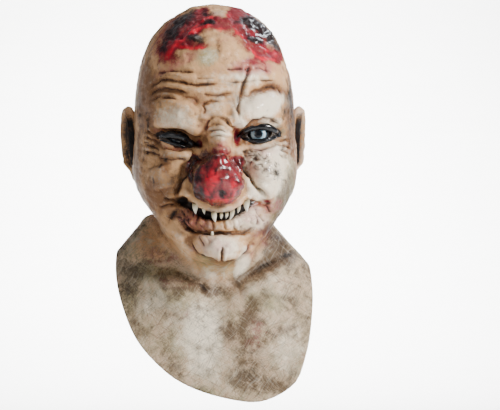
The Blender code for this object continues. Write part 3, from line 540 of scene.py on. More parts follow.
# %% Creases: depth and width in mm, then points in the photograph's frame
CREASES = (
    (1.0, 1.6, ((157, 73), (170, 72), (182, 72), (195, 73))),
    (1.0, 1.6, ((225, 70), (236, 70), (254, 69), (269, 70))),
    (1.4, 1.7, ((151, 88), (158, 82), (169, 79.5), (182, 81.5), (191, 84.5))),
    (0.9, 1.3, ((188, 83), (197, 85.5), (208, 85), (220, 84))),
    (0.8, 1.4, ((228, 82), (246, 82), (262, 80), (277, 81))),
    (0.6, 1.1, ((196, 78), (206, 79.5), (216, 79))), (0.6, 1.1, ((160, 77), (170, 75.5), (180, 76.5))),
    (0.6, 1.1, ((186, 97), (194, 99), (199, 103))), (0.6, 1.1, ((189, 105), (194, 110), (195, 116))),
    (1.1, 1.5, ((150, 97), (157, 90), (167, 89), (179, 90), (188, 92.5))),
    (1.0, 1.5, ((203, 94), (208, 95), (222, 95), (235, 93))),
    (0.9, 1.4, ((151, 103), (158, 98), (170, 97.5), (178, 101))),
    (1.1, 1.5, ((201, 117), (205, 111), (205, 106), (210, 101), (222, 101))),
    (2.2, 1.7, ((249, 64), (247, 70), (242, 88), (239, 103), (237, 112), (238, 118))),
    (1.5, 3.0, ((247, 97), (255, 91), (269, 86), (279, 89), (283, 95))),
    (1.2, 1.5, ((205, 133), (207, 125), (212, 118.5), (219, 116.5), (226, 120), (231, 129))),
    (0.6, 1.1, ((213, 125), (222, 124), (228, 128))),
    (0.7, 1.1, ((209, 132), (219, 130), (228, 132))),
    (0.5, 1.1, ((208, 138), (219, 136), (231, 138))),
    (2.2, 2.4, ((157, 129), (170, 128), (182, 129), (194, 135), (203, 137))),
    (1.0, 1.3, ((160, 147), (170, 151), (182, 153), (191, 151))),
    (0.9, 1.2, ((158, 157), (172, 160), (187, 157))),
    (1.0, 1.3, ((143, 143), (150, 146), (159, 150))),
    (1.0, 1.3, ((146, 151), (153, 153), (162, 155))),
    (0.9, 1.2, ((147, 131), (153, 134), (159, 136))),
    (0.9, 1.2, ((145, 137), (152, 139), (158, 141))),
    (1.6, 1.8, ((242, 128), (252, 121), (266, 118), (279, 125))),
    (1.0, 1.3, ((246, 147), (258, 150), (270, 148), (279, 143))),
    (0.9, 1.3, ((247, 148), (256, 156), (266, 166), (276, 175))),
    (0.8, 1.2, ((253, 151), (262, 158), (272, 167))), (0.8, 1.2, ((249, 153), (258, 162), (268, 172))),
    (0.8, 1.2, ((262, 151), (255, 158), (250, 166))), (0.8, 1.2, ((267, 154), (262, 162), (256, 168))),
    (0.8, 1.2, ((272, 156), (267, 163), (262, 170))), (0.7, 1.2, ((276, 164), (271, 170), (269, 177))),
    (0.9, 1.2, ((277, 145), (283, 146), (289, 147))),
    (0.9, 1.2, ((277, 149), (283, 151), (289, 154))),
    (0.8, 1.2, ((276, 153), (281, 156), (286, 159))),
    (0.8, 1.2, ((279, 141), (285, 140), (290, 138))),
    (2.0, 1.7, ((193, 158), (189, 165), (186, 173), (181, 184), (173, 197))),
    (2.0, 1.7, ((240, 157), (244, 166), (249, 177), (258, 189), (271, 198))),
    (1.1, 1.4, ((176, 201), (170, 199), (162, 199))),
    (1.1, 1.4, ((175, 204), (168, 205), (161, 208))),
    (1.4, 1.7, ((179, 208), (175, 213), (171, 220))),
    (1.0, 1.4, ((262, 200), (268, 200), (275, 198))),
    (1.0, 1.4, ((261, 205), (267, 208), (273, 214))),
    (0.9, 1.3, ((255, 208), (258, 215), (264, 222))),
    (0.9, 1.2, ((184, 209), (185, 215), (184, 222))), (0.9, 1.2, ((187, 213), (189, 219), (193, 226))),
    (0.9, 1.2, ((194, 212), (196, 219), (195, 227))), (0.8, 1.2, ((203, 217), (204, 223), (202, 230))),
    (0.8, 1.2, ((212, 220), (212, 226), (214, 231))), (0.8, 1.2, ((232, 219), (233, 225), (236, 230))),
    (0.8, 1.2, ((254, 213), (257, 219), (256, 225))), (0.7, 1.1, ((199, 236), (203, 242), (204, 247))),
    (0.7, 1.1, ((206, 236), (209, 240), (211, 246))), (0.7, 1.2, ((160, 190), (164, 196), (170, 201))),
    (0.9, 1.2, ((190, 209), (191, 217), (189, 224))),
    (0.9, 1.2, ((199, 213), (199, 220), (198, 227))),
    (0.8, 1.2, ((207, 217), (206, 222), (207, 229))),
    (0.8, 1.2, ((224, 221), (224, 225), (225, 229))),
    (0.7, 1.2, ((240, 214), (241, 221), (240, 228))),
    (0.7, 1.2, ((249, 211), (250, 218), (250, 226))),
    (2.0, 1.7, ((182, 219), (186, 224), (188, 228), (196, 232), (207, 234), (218, 233), (229, 233), (237, 233),
                (247, 231), (256, 226))),
    (1.4, 1.8, ((191, 238), (194, 247), (200, 256), (211, 260), (224, 261), (237, 258), (246, 251), (250, 240))),
    (2.0, 1.3, ((222, 247), (222, 253), (222, 262))),
    (1.1, 1.8, ((118, 265), (138, 262), (150, 256), (163, 252))),
    (1.3, 1.6, ((118, 270), (138, 273), (158, 276), (182, 278), (194, 282), (205, 289))),
    (1.0, 1.6, ((160, 284), (172, 289), (187, 290), (200, 289))),
    (1.6, 2.4, ((303, 251), (292, 253), (277, 259), (262, 270), (247, 277), (233, 284), (222, 287))),
    (0.9, 1.6, ((266, 246), (262, 258), (258, 268))),
    (0.8, 1.8, ((258, 248), (252, 260), (243, 270))),
    (-1.6, 3.2, ((173, 226), (181, 240), (189, 253), (192, 262))),
    (-1.4, 3.0, ((160, 222), (170, 238), (180, 250), (188, 258))),
    (-1.4, 2.6, ((207, 262), (209, 272), (212, 282))),
    (-1.5, 2.8, ((243, 256), (241, 266), (236, 276))),
    (-1.1, 2.6, ((224, 263), (224, 272), (223, 280))),
    (-1.1, 3.0, ((128, 274), (152, 280), (178, 285), (199, 292))),
    (-1.0, 3.6, ((300, 262), (282, 268), (262, 280), (240, 290))),
    (0.7, 2.4, ((270, 290), (262, 300), (250, 312), (240, 324))),
    (0.5, 1.8, ((264, 288), (255, 300), (243, 314))),
    (0.6, 2.6, ((150, 300), (166, 312), (186, 320))),
)

# %% Broad ridges: height and half width in mm, then points in the photograph's frame
RIDGES = (
    (2.6, 6.0, ((152, 126), (164, 122), (180, 123), (194, 129), (206, 137))),
    (3.2, 7.5, ((233, 126), (241, 118), (252, 109), (266, 102), (282, 104))),
    (1.6, 5.0, ((238, 112), (232, 118), (229, 124))),
    (1.8, 2.4, ((206, 128), (211, 121), (219, 117), (227, 120), (232, 127))),
    (1.4, 1.9, ((207, 133), (213, 127.5), (220, 125.5), (228, 127.5), (232, 131))),
    (1.2, 1.9, ((207, 138), (214, 134), (221, 133), (228, 134.5), (233, 138))),
    (1.3, 4.0, ((156, 77), (170, 76), (184, 77), (198, 79), (214, 78), (232, 77), (250, 76), (268, 73))),
    (1.3, 3.6, ((156, 89), (168, 86), (182, 88), (200, 90), (220, 89.5), (238, 88))),
    (1.2, 3.4, ((156, 97), (168, 95), (182, 98), (196, 101))),
    (1.5, 4.5, ((160, 104), (174, 103), (188, 107), (198, 114))),
    (2.2, 3.6, ((160, 152), (172, 154.5), (184, 155), (194, 151))),
    (1.6, 3.0, ((246, 152), (258, 155), (271, 153), (280, 148))),
    (2.8, 8.0, ((157, 166), (160, 178), (162, 190))),
    (3.0, 9.5, ((260, 158), (266, 170), (268, 182))),
    (1.6, 3.0, ((187, 176), (186, 188), (189, 197))),
    (1.5, 3.0, ((245, 176), (249, 188), (255, 194))),
    (1.6, 2.6, ((190, 199), (200, 206), (212, 210), (224, 210), (236, 206), (246, 197))),
    (2.2, 4.5, ((176, 214), (188, 219), (202, 224), (216, 226), (232, 225), (248, 219), (260, 212))),
    (-2.6, 4.0, ((186, 204), (196, 210), (207, 215), (218, 217), (230, 215), (242, 209), (252, 203))),
    (1.6, 5.0, ((199, 146), (193, 154), (188, 163))),
    (1.6, 4.5, ((238, 145), (243, 155), (247, 166))),
    (1.8, 5.0, ((209, 158), (220, 154.5), (231, 157))),
    (2.2, 5.0, ((200, 160), (196, 168), (197, 177))),
    (2.0, 8.0, ((212, 240), (222, 250), (232, 242))),
    (3.0, 7.0, ((221, 146), (221, 153))),
    (1.8, 5.0, ((205, 104), (204, 112), (203, 120))),
    (1.6, 6.0, ((262, 82), (250, 88), (244, 96))),
)

# %% Lumps and pits: x, y, half width, half height in the photograph's frame, tilt, and rise in mm
LUMPS = (
    (194, 40, 11, 5.5, -10, 2.2), (176, 30, 7, 5, 30, 1.6), (187, 21, 7, 4, 30, 1.4), (168, 44, 5, 6, 0, 1.5),
    (162, 56, 4, 6, 0, 1.3), (184, 47, 6, 3.5, 0, 1.2), (204, 20, 7, 4, 20, 1.2), (180, 38, 5, 4, 0, -1.6),
    (250, 22, 6.5, 5.5, 0, 2.6), (260, 27, 6, 5.5, -20, 2.8), (268, 35, 5, 6, -30, 2.2), (257, 41, 7, 4, 0, 2.0),
    (271, 47, 4.5, 6, 0, 1.7), (243, 30, 5, 5, 0, 1.5), (246, 39, 5, 4, 0, -1.6), (263, 50, 5, 3.5, 0, 1.3),
    (167, 160, 3.4, 2.6, 0, 1.1), (163, 167, 2.8, 2.3, 0, 0.9), (276, 174, 3.0, 2.4, 0, 0.7),
    (250, 197, 3.4, 2.8, 0, 1.7), (256, 199, 3.8, 2.8, -20, 1.9), (254, 204, 3.2, 2.4, 0, 1.4),
    (262, 204, 3.4, 2.6, 0, 1.2), (182, 200, 8, 6, 0, -1.8), (267, 203, 6, 4, 0, -1.6),
    (198, 143.5, 4.5, 5.0, 0, -2.4), (237, 137, 3.4, 9.0, 0, -2.2),
    (233, 222, 5.0, 3.2, 0, 1.5), (193, 221, 3.4, 2.8, 0, 1.2), (212, 231, 3.4, 3.0, 0, 1.1),
    (213, 176, 11, 12, 0, 0.9), (228, 178, 7, 12, 12, 0.9), (199, 182, 7, 9, 10, 0.8), (239, 184, 5, 8, 0, 0.7),
    (222, 195, 3.6, 4.4, 0, -3.4), (220, 186, 3, 9, -8, -0.9), (206, 170, 3, 9, 18, -0.8),
    (234, 169, 2.6, 8, -14, -0.8), (205, 193, 7, 4, -25, 0.8), (236, 195, 6, 4, 25, 0.8),
    (220, 160, 9, 7, 0, 0.7), (211, 246, 9, 8, 0, 0.9), (233, 245, 9, 8, 0, 0.9),
    (190, 214, 9, 6, -20, 0.8), (204, 222, 8, 5, -10, 0.8), (246, 218, 10, 6, 15, 0.7), (220, 226, 7, 4, 0, 0.6),
    (268, 165, 15, 16, 0, 0.8), (205, 289, 7, 4, -20, -1.6), (218, 288, 6, 3.5, 0, -1.2),
)

# %% Ragged rims of the wounds: height and width in mm, and the rim's points
RIMS = (
    (1.7, 2.6, ((222, 17), (212, 25), (203, 29), (192, 33), (183, 38), (174, 46), (167, 58), (163, 68))),
    (1.2, 2.2, ((214, 7), (200, 9), (190, 14), (178, 21), (168, 32), (160, 46), (156, 60))),
    (1.8, 2.6, ((227, 14), (231, 25), (239, 35), (247, 46), (255, 55), (265, 59), (279, 62))),
    (1.2, 2.2, ((236, 8), (248, 12), (262, 19), (272, 30), (279, 42), (284, 56))),
)


def near_line(points, margin):
    """Distance and place along a line in the photograph's frame, worked out only where it is near."""
    corners = smooth_line(points) * np.array([1, -1])
    low, high = corners.min(0) - margin, corners.max(0) + margin
    near = (PX > low[0]) & (PX < high[0]) & (PZ > low[1]) & (PZ < high[1])
    away, along = np.full(PX.shape, 99.0), np.zeros(PX.shape)
    away[near], along[near] = distance_along(PX[near], PZ[near], corners)
    return away, along


# %% Raise the broad ridges
RIDGE_GAIN = 1.5                 # in this soft light the listed heights would show too little
rise = np.zeros(PX.shape)        # mm, along the outward direction
for height, width, points in RIDGES:
    away, along = near_line(points, 3 * width)
    fade = eased(0, 0.22, along) * eased(0, 0.22, 1 - along) * ON_FACE
    rise += RIDGE_GAIN * height * np.exp(-((away / width) ** 2)) * fade
print("highest ridge, mm:", round(float(rise.max()), 1))

# %% Let the hand stray
# No sculptor's line is even. From here on a point's place in the photograph's frame is off by up to 2 mm of smooth
# noise, less on the bib, so that all that is listed by place wanders a little: creases, lumps and daubs of paint.
STEADY = 1 - 0.6 * SOFT
PX = PX + (1.5 * grain(formed, 9 * MM, 12) + 0.7 * grain(formed, 4 * MM, 13)) * STEADY
PZ = PZ + (1.3 * grain(formed, 8 * MM, 14) + 0.6 * grain(formed, 3.6 * MM, 15)) * STEADY


def patch_at(x, y, half_width, half_height, tilt):
    """A soft round patch on the skin, 1 at a place in the photograph's frame and 0 past its half sizes."""
    return mound(PX - x, PZ + y, half_width, half_height, tilt)


# %% Press the creases in
# A tool that is pulled through clay digs a groove and pushes up a soft swelling beside it. Thin brown wash later
# runs into the groove's core, and a wider painted shade spreads out from it.
BIB_TOP = 250                    # px down the photograph: the folds below it are those of the bib
BIB_FOLD_WIDTH = 2.6             # they are wider and softer than the face's
CREVICE_DIRT_AND_SHADE = np.zeros(PX.shape)     # 0 to 1, where dark dirt gathers and where shade is painted into the creases and pits
CREASE_SHADE = np.zeros(PX.shape)        # 0 to 1, painted shade that spreads out from a crease
draped, draped_fold_shade = np.zeros(PX.shape), np.zeros(PX.shape)     # the same for the bib's soft folds: their relief, and the painted shade in them
for depth, width, points in CREASES:
    away, along = near_line(points, 5 * width)
    fade = eased(0, 0.16, along) * eased(0, 0.16, 1 - along) * ON_FACE
    fade = fade * (0.85 + 0.5 * grain(formed, 11 * MM, 16))
    on_bib = points[0][1] > BIB_TOP
    width = width * (BIB_FOLD_WIDTH if on_bib else 1)
    groove = np.exp(-((away / (0.85 * width)) ** 2)) * fade
    swelling = np.exp(-(((away - 2.3 * width) / (1.3 * width)) ** 2)) * fade
    pressed_in = 1.25 * depth * groove - (0.55 * depth * swelling if depth > 0 else 0)
    if on_bib:
        draped -= 1.5 * pressed_in
        if depth > 0:
            draped_fold_shade = np.maximum(draped_fold_shade, groove * min(1.0, 0.45 + 0.3 * depth))
        continue
    rise -= pressed_in
    if depth > 0:
        core = np.exp(-((away / (0.55 * width)) ** 2)) * fade
        CREVICE_DIRT_AND_SHADE = np.maximum(CREVICE_DIRT_AND_SHADE, core * min(0.85, 0.40 + 0.20 * depth))
        CREASE_SHADE = np.maximum(CREASE_SHADE, np.exp(-((away / (2.4 * width)) ** 2)) * fade * min(1.0, 0.35 + 0.28 * depth))
print("creases:", len(CREASES), "and the deepest, mm:", round(-float(rise.min()), 1))

# %% Raise the lumps and the ragged rims
for *spot, height in LUMPS:
    hill = patch_at(*spot) * ON_FACE
    rise += height * hill
    if height < 0:
        CREVICE_DIRT_AND_SHADE = np.maximum(CREVICE_DIRT_AND_SHADE, np.clip(hill * 1.6 * min(1, -height / 1.5), 0, 1))
ragged = 0.55 + 0.75 * grain(formed, 5 * MM, 3) + 0.35 * grain(formed, 2.4 * MM, 4)
for height, width, points in RIMS:
    away, along = near_line(points, 4 * width)
    fade = eased(0, 0.1, along) * eased(0, 0.1, 1 - along) * ON_FACE
    rise += height * np.clip(ragged, 0.1, 1.6) * np.exp(-((away / width) ** 2)) * fade
print("creases and lumps, mm:", round(float(rise.min()), 1), "to", round(float(rise.max()), 1))


# %% Crumple the whole skin with noise
def ridged(points, size, seed):
    """Noise folded over, so that it has thin valleys: 0 in a valley and 1 on the tops."""
    return np.abs(grain(points, size, seed)) ** 0.7


def worn_lines(stretch, size, seed, thinness):
    """A net of fine lines, 1 in a line and 0 beside it. The stretch is less than 1 along the way they run."""
    return np.clip(1 - thinness * ridged(bent * np.array(stretch), size, seed), 0, 1)


# Each size of noise does one thing: plain grain makes the skin uneven, and folded noise, with its thin valleys, makes
# it wrinkled. bent is the skin pushed about by up to 2.5 mm, so that the valleys wander.
bent = formed + 2.5 * MM * np.stack([grain(formed, 6 * MM, seed) for seed in (17, 18, 19)], axis=-1)
not_wet = 1 - 0.5 * NOSE                            # the nose's thick gloss fills its fine grain
wrinkled = 0.35 + 0.65 * ON_FACE * HEAD_PART
rise += (0.40 * grain(formed, 7 * MM, 6) + 0.22 * grain(formed, 3.0 * MM, 7)) * not_wet
rise += wrinkled * (1.2 * ridged(bent * np.array([1.0, 1.0, 1.7]), 15 * MM, 25) - 0.4) * not_wet
rise += wrinkled * (0.6 * ridged(bent * np.array([1.0, 1.0, 1.4]), 7 * MM, 26) - 0.2) * not_wet
rise += NOSE * (1.5 * grain(formed, 12 * MM, 27) + 1.1 * grain(formed, 6 * MM, 28) + 0.55 * grain(formed, 3 * MM, 29)
                - 0.9 * ridged(bent, 9 * MM, 38))
rise += BIB_PART * (1.1 * grain(formed, 34 * MM, 8) + 0.35 * grain(formed, 12 * MM, 9))
rise += (1 - ON_FACE) * 0.9 * grain(formed * np.array([1.6, 1.6, 0.7]), 22 * MM, 5)

# %% Fine lines under the pale eye, beside both eyes and on the forehead
# Under the pale eye the skin is checked like dry mud. Across the forehead only the dirt in the lines shows.
net_away, net_along = near_line(((244, 147), (252, 157), (264, 167), (278, 175)), 24)
NET = np.exp(-((net_away / 9.5) ** 2)) * eased(0, 0.12, net_along) * ON_FACE
for crows_foot in ((150, 143, 11, 16, 0), (286, 148, 9, 15, 0)):
    NET = np.maximum(NET, 0.8 * np.sqrt(patch_at(*crows_foot)) * ON_FACE)
hairlines = worn_lines((1.2, 1.0, 1.6), 7 * MM, 42, 2.0)
rise -= 1.1 * NET * hairlines
CREVICE_DIRT_AND_SHADE = np.maximum(CREVICE_DIRT_AND_SHADE, 1.15 * NET * hairlines)
forehead_lines = worn_lines((0.45, 1.0, 1.5), 9 * MM, 45, 4.0)
CREVICE_DIRT_AND_SHADE = np.maximum(CREVICE_DIRT_AND_SHADE, 0.30 * forehead_lines * ON_FACE * HEAD_PART * (1 - NOSE))

# %% The puckered lower lip and the raw scalp
# The lip is dark and deeply puckered on the left, and smoother and paler on the right.
LIP_LEFT = np.sqrt(patch_at(195, 219, 25, 15, -14)) * ON_FACE
LIP_RIGHT = np.sqrt(patch_at(242, 218, 24, 13, 18)) * ON_FACE
lip_lines = worn_lines((1.5, 1.0, 0.7), 5 * MM, 43, 2.4)
rise += (LIP_LEFT + 0.8 * LIP_RIGHT) * (0.9 * grain(formed, 3.4 * MM, 44) - 1.2 * lip_lines)
CREVICE_DIRT_AND_SHADE = np.maximum(CREVICE_DIRT_AND_SHADE, (0.8 * LIP_LEFT + 0.25 * LIP_RIGHT) * lip_lines)
WOUNDED = np.zeros(PX.shape)     # 1 in the wounds, with a bald patch of whole skin between them
for wound in ((180, 36, 36, 15, 40), (262, 34, 32, 15, -42), (208, 17, 20, 12, 15)):
    WOUNDED = np.maximum(WOUNDED, eased(0.0, 0.5, patch_at(*wound)))
WOUNDED *= ON_FACE * (1 - eased(0.15, 0.6, patch_at(220, 12, 11, 7, 0)))
rise += WOUNDED * (0.9 * ridged(bent, 5 * MM, 46) - 0.4)
rise += WOUNDED * (0.8 * grain(formed, 5 * MM, 10) + 0.55 * grain(formed, 2.6 * MM, 11) - 0.5)


# %% Soften the bib and move the skin
def blurred(field, times):
    """The field spread over its neighbours, a little more each time."""
    for _ in range(times):
        field = (np.roll(field, 1, axis=1) + np.roll(field, -1, axis=1) + 2 * field) / 4
        padded = np.concatenate([field[:1], field, field[-1:]])
        field = (padded[:-2] + 2 * padded[1:-1] + padded[2:]) / 4
    return field


rise = rise * (1 - SOFT) + blurred(rise, 8) * SOFT + blurred(draped, 9)
draped_fold_shade = blurred(draped_fold_shade, 9)
CREVICE_DIRT_AND_SHADE = CREVICE_DIRT_AND_SHADE * (1 - SOFT) + blurred(CREVICE_DIRT_AND_SHADE, 5) * SOFT
CREASE_SHADE = CREASE_SHADE * (1 - SOFT) + 0.75 * blurred(CREASE_SHADE, 5) * SOFT
crest = np.minimum(1, PLACES / 1.0)[:, None]          # nothing moves at the crown's very tip
sculpted = formed + facing_of(formed) * (rise * crest * MM)[..., None]
print("the skin moved by, mm:", round(float(rise.min()), 1), "to", round(float(rise.max()), 1))

# %% Where the sculpted skin is hollow
# Paint follows hollows and tops, and stands in for shade in the hollows and light on the tops: painted shade and
# painted highlight. Both fields run from -1 on a top to 1 in a hollow, the first for wrinkles and the second for the
# face's large forms. Each compares the skin with a blurred copy of itself.
pressed = (SMOOTH[..., 1] - formed[..., 1]) / MM * FACING * (NOSE < 0.01) * HEAD_PART + rise
HOLLOW_FINE = np.clip((blurred(rise, 8) - rise) / 0.8, -1, 1)
HOLLOW_WIDE = np.clip((blurred(pressed, 90) - blurred(pressed, 4)) / 2.2, -1, 1) * (1 - NOSE)

# %% [markdown]
# ## Eye openings
# Behind each pair of lids the real mask has a cast eye glued in. The skin could be cut open there, but a mask
# that is closed is easier to keep sound. So inside each almond the skin dives back into a pocket behind the eye.
# The lids' thick wet edges are pieces of their own, laid over the cut further down.


# %% Sink the pockets
def almond_share(name, x, z):
    """0 at the middle of an eye opening, 1 on its edge, and more outside it."""
    e = dict(zip(EYE_COLUMNS, EYES[name]))
    tilt = math.radians(e["tilt"])
    centre = EYE_CENTRES[name]
    dx, dz = x - centre[0], z - centre[2]
    across = (dx * math.cos(tilt) + dz * math.sin(tilt)) / (EYE_RADIUS * e["half_width"])
    up = (dz * math.cos(tilt) - dx * math.sin(tilt)) / EYE_RADIUS
    up = up / np.where(up > 0, e["upper"], e["lower"])
    angle = np.arctan2(up, across)
    return np.hypot(across, up / (1 - 0.25 * np.cos(angle) ** 2))


POCKET_GAP = 1.5 * MM            # between an eye's flat back and the skin behind it
POCKET = np.zeros(PX.shape)      # 1 where the skin lies in a pocket
for name, centre in EYE_CENTRES.items():
    share = almond_share(name, sculpted[..., 0], sculpted[..., 2])
    inside = (share < 1) & (sculpted[..., 1] < centre[1])
    POCKET[inside] = 1
    floor_y = centre[1] - EYE_RADIUS + EYE_THICKNESS + POCKET_GAP
    sculpted[..., 1] = np.where(inside, floor_y, sculpted[..., 1])
print("points in the eye pockets:", int(POCKET.sum()))
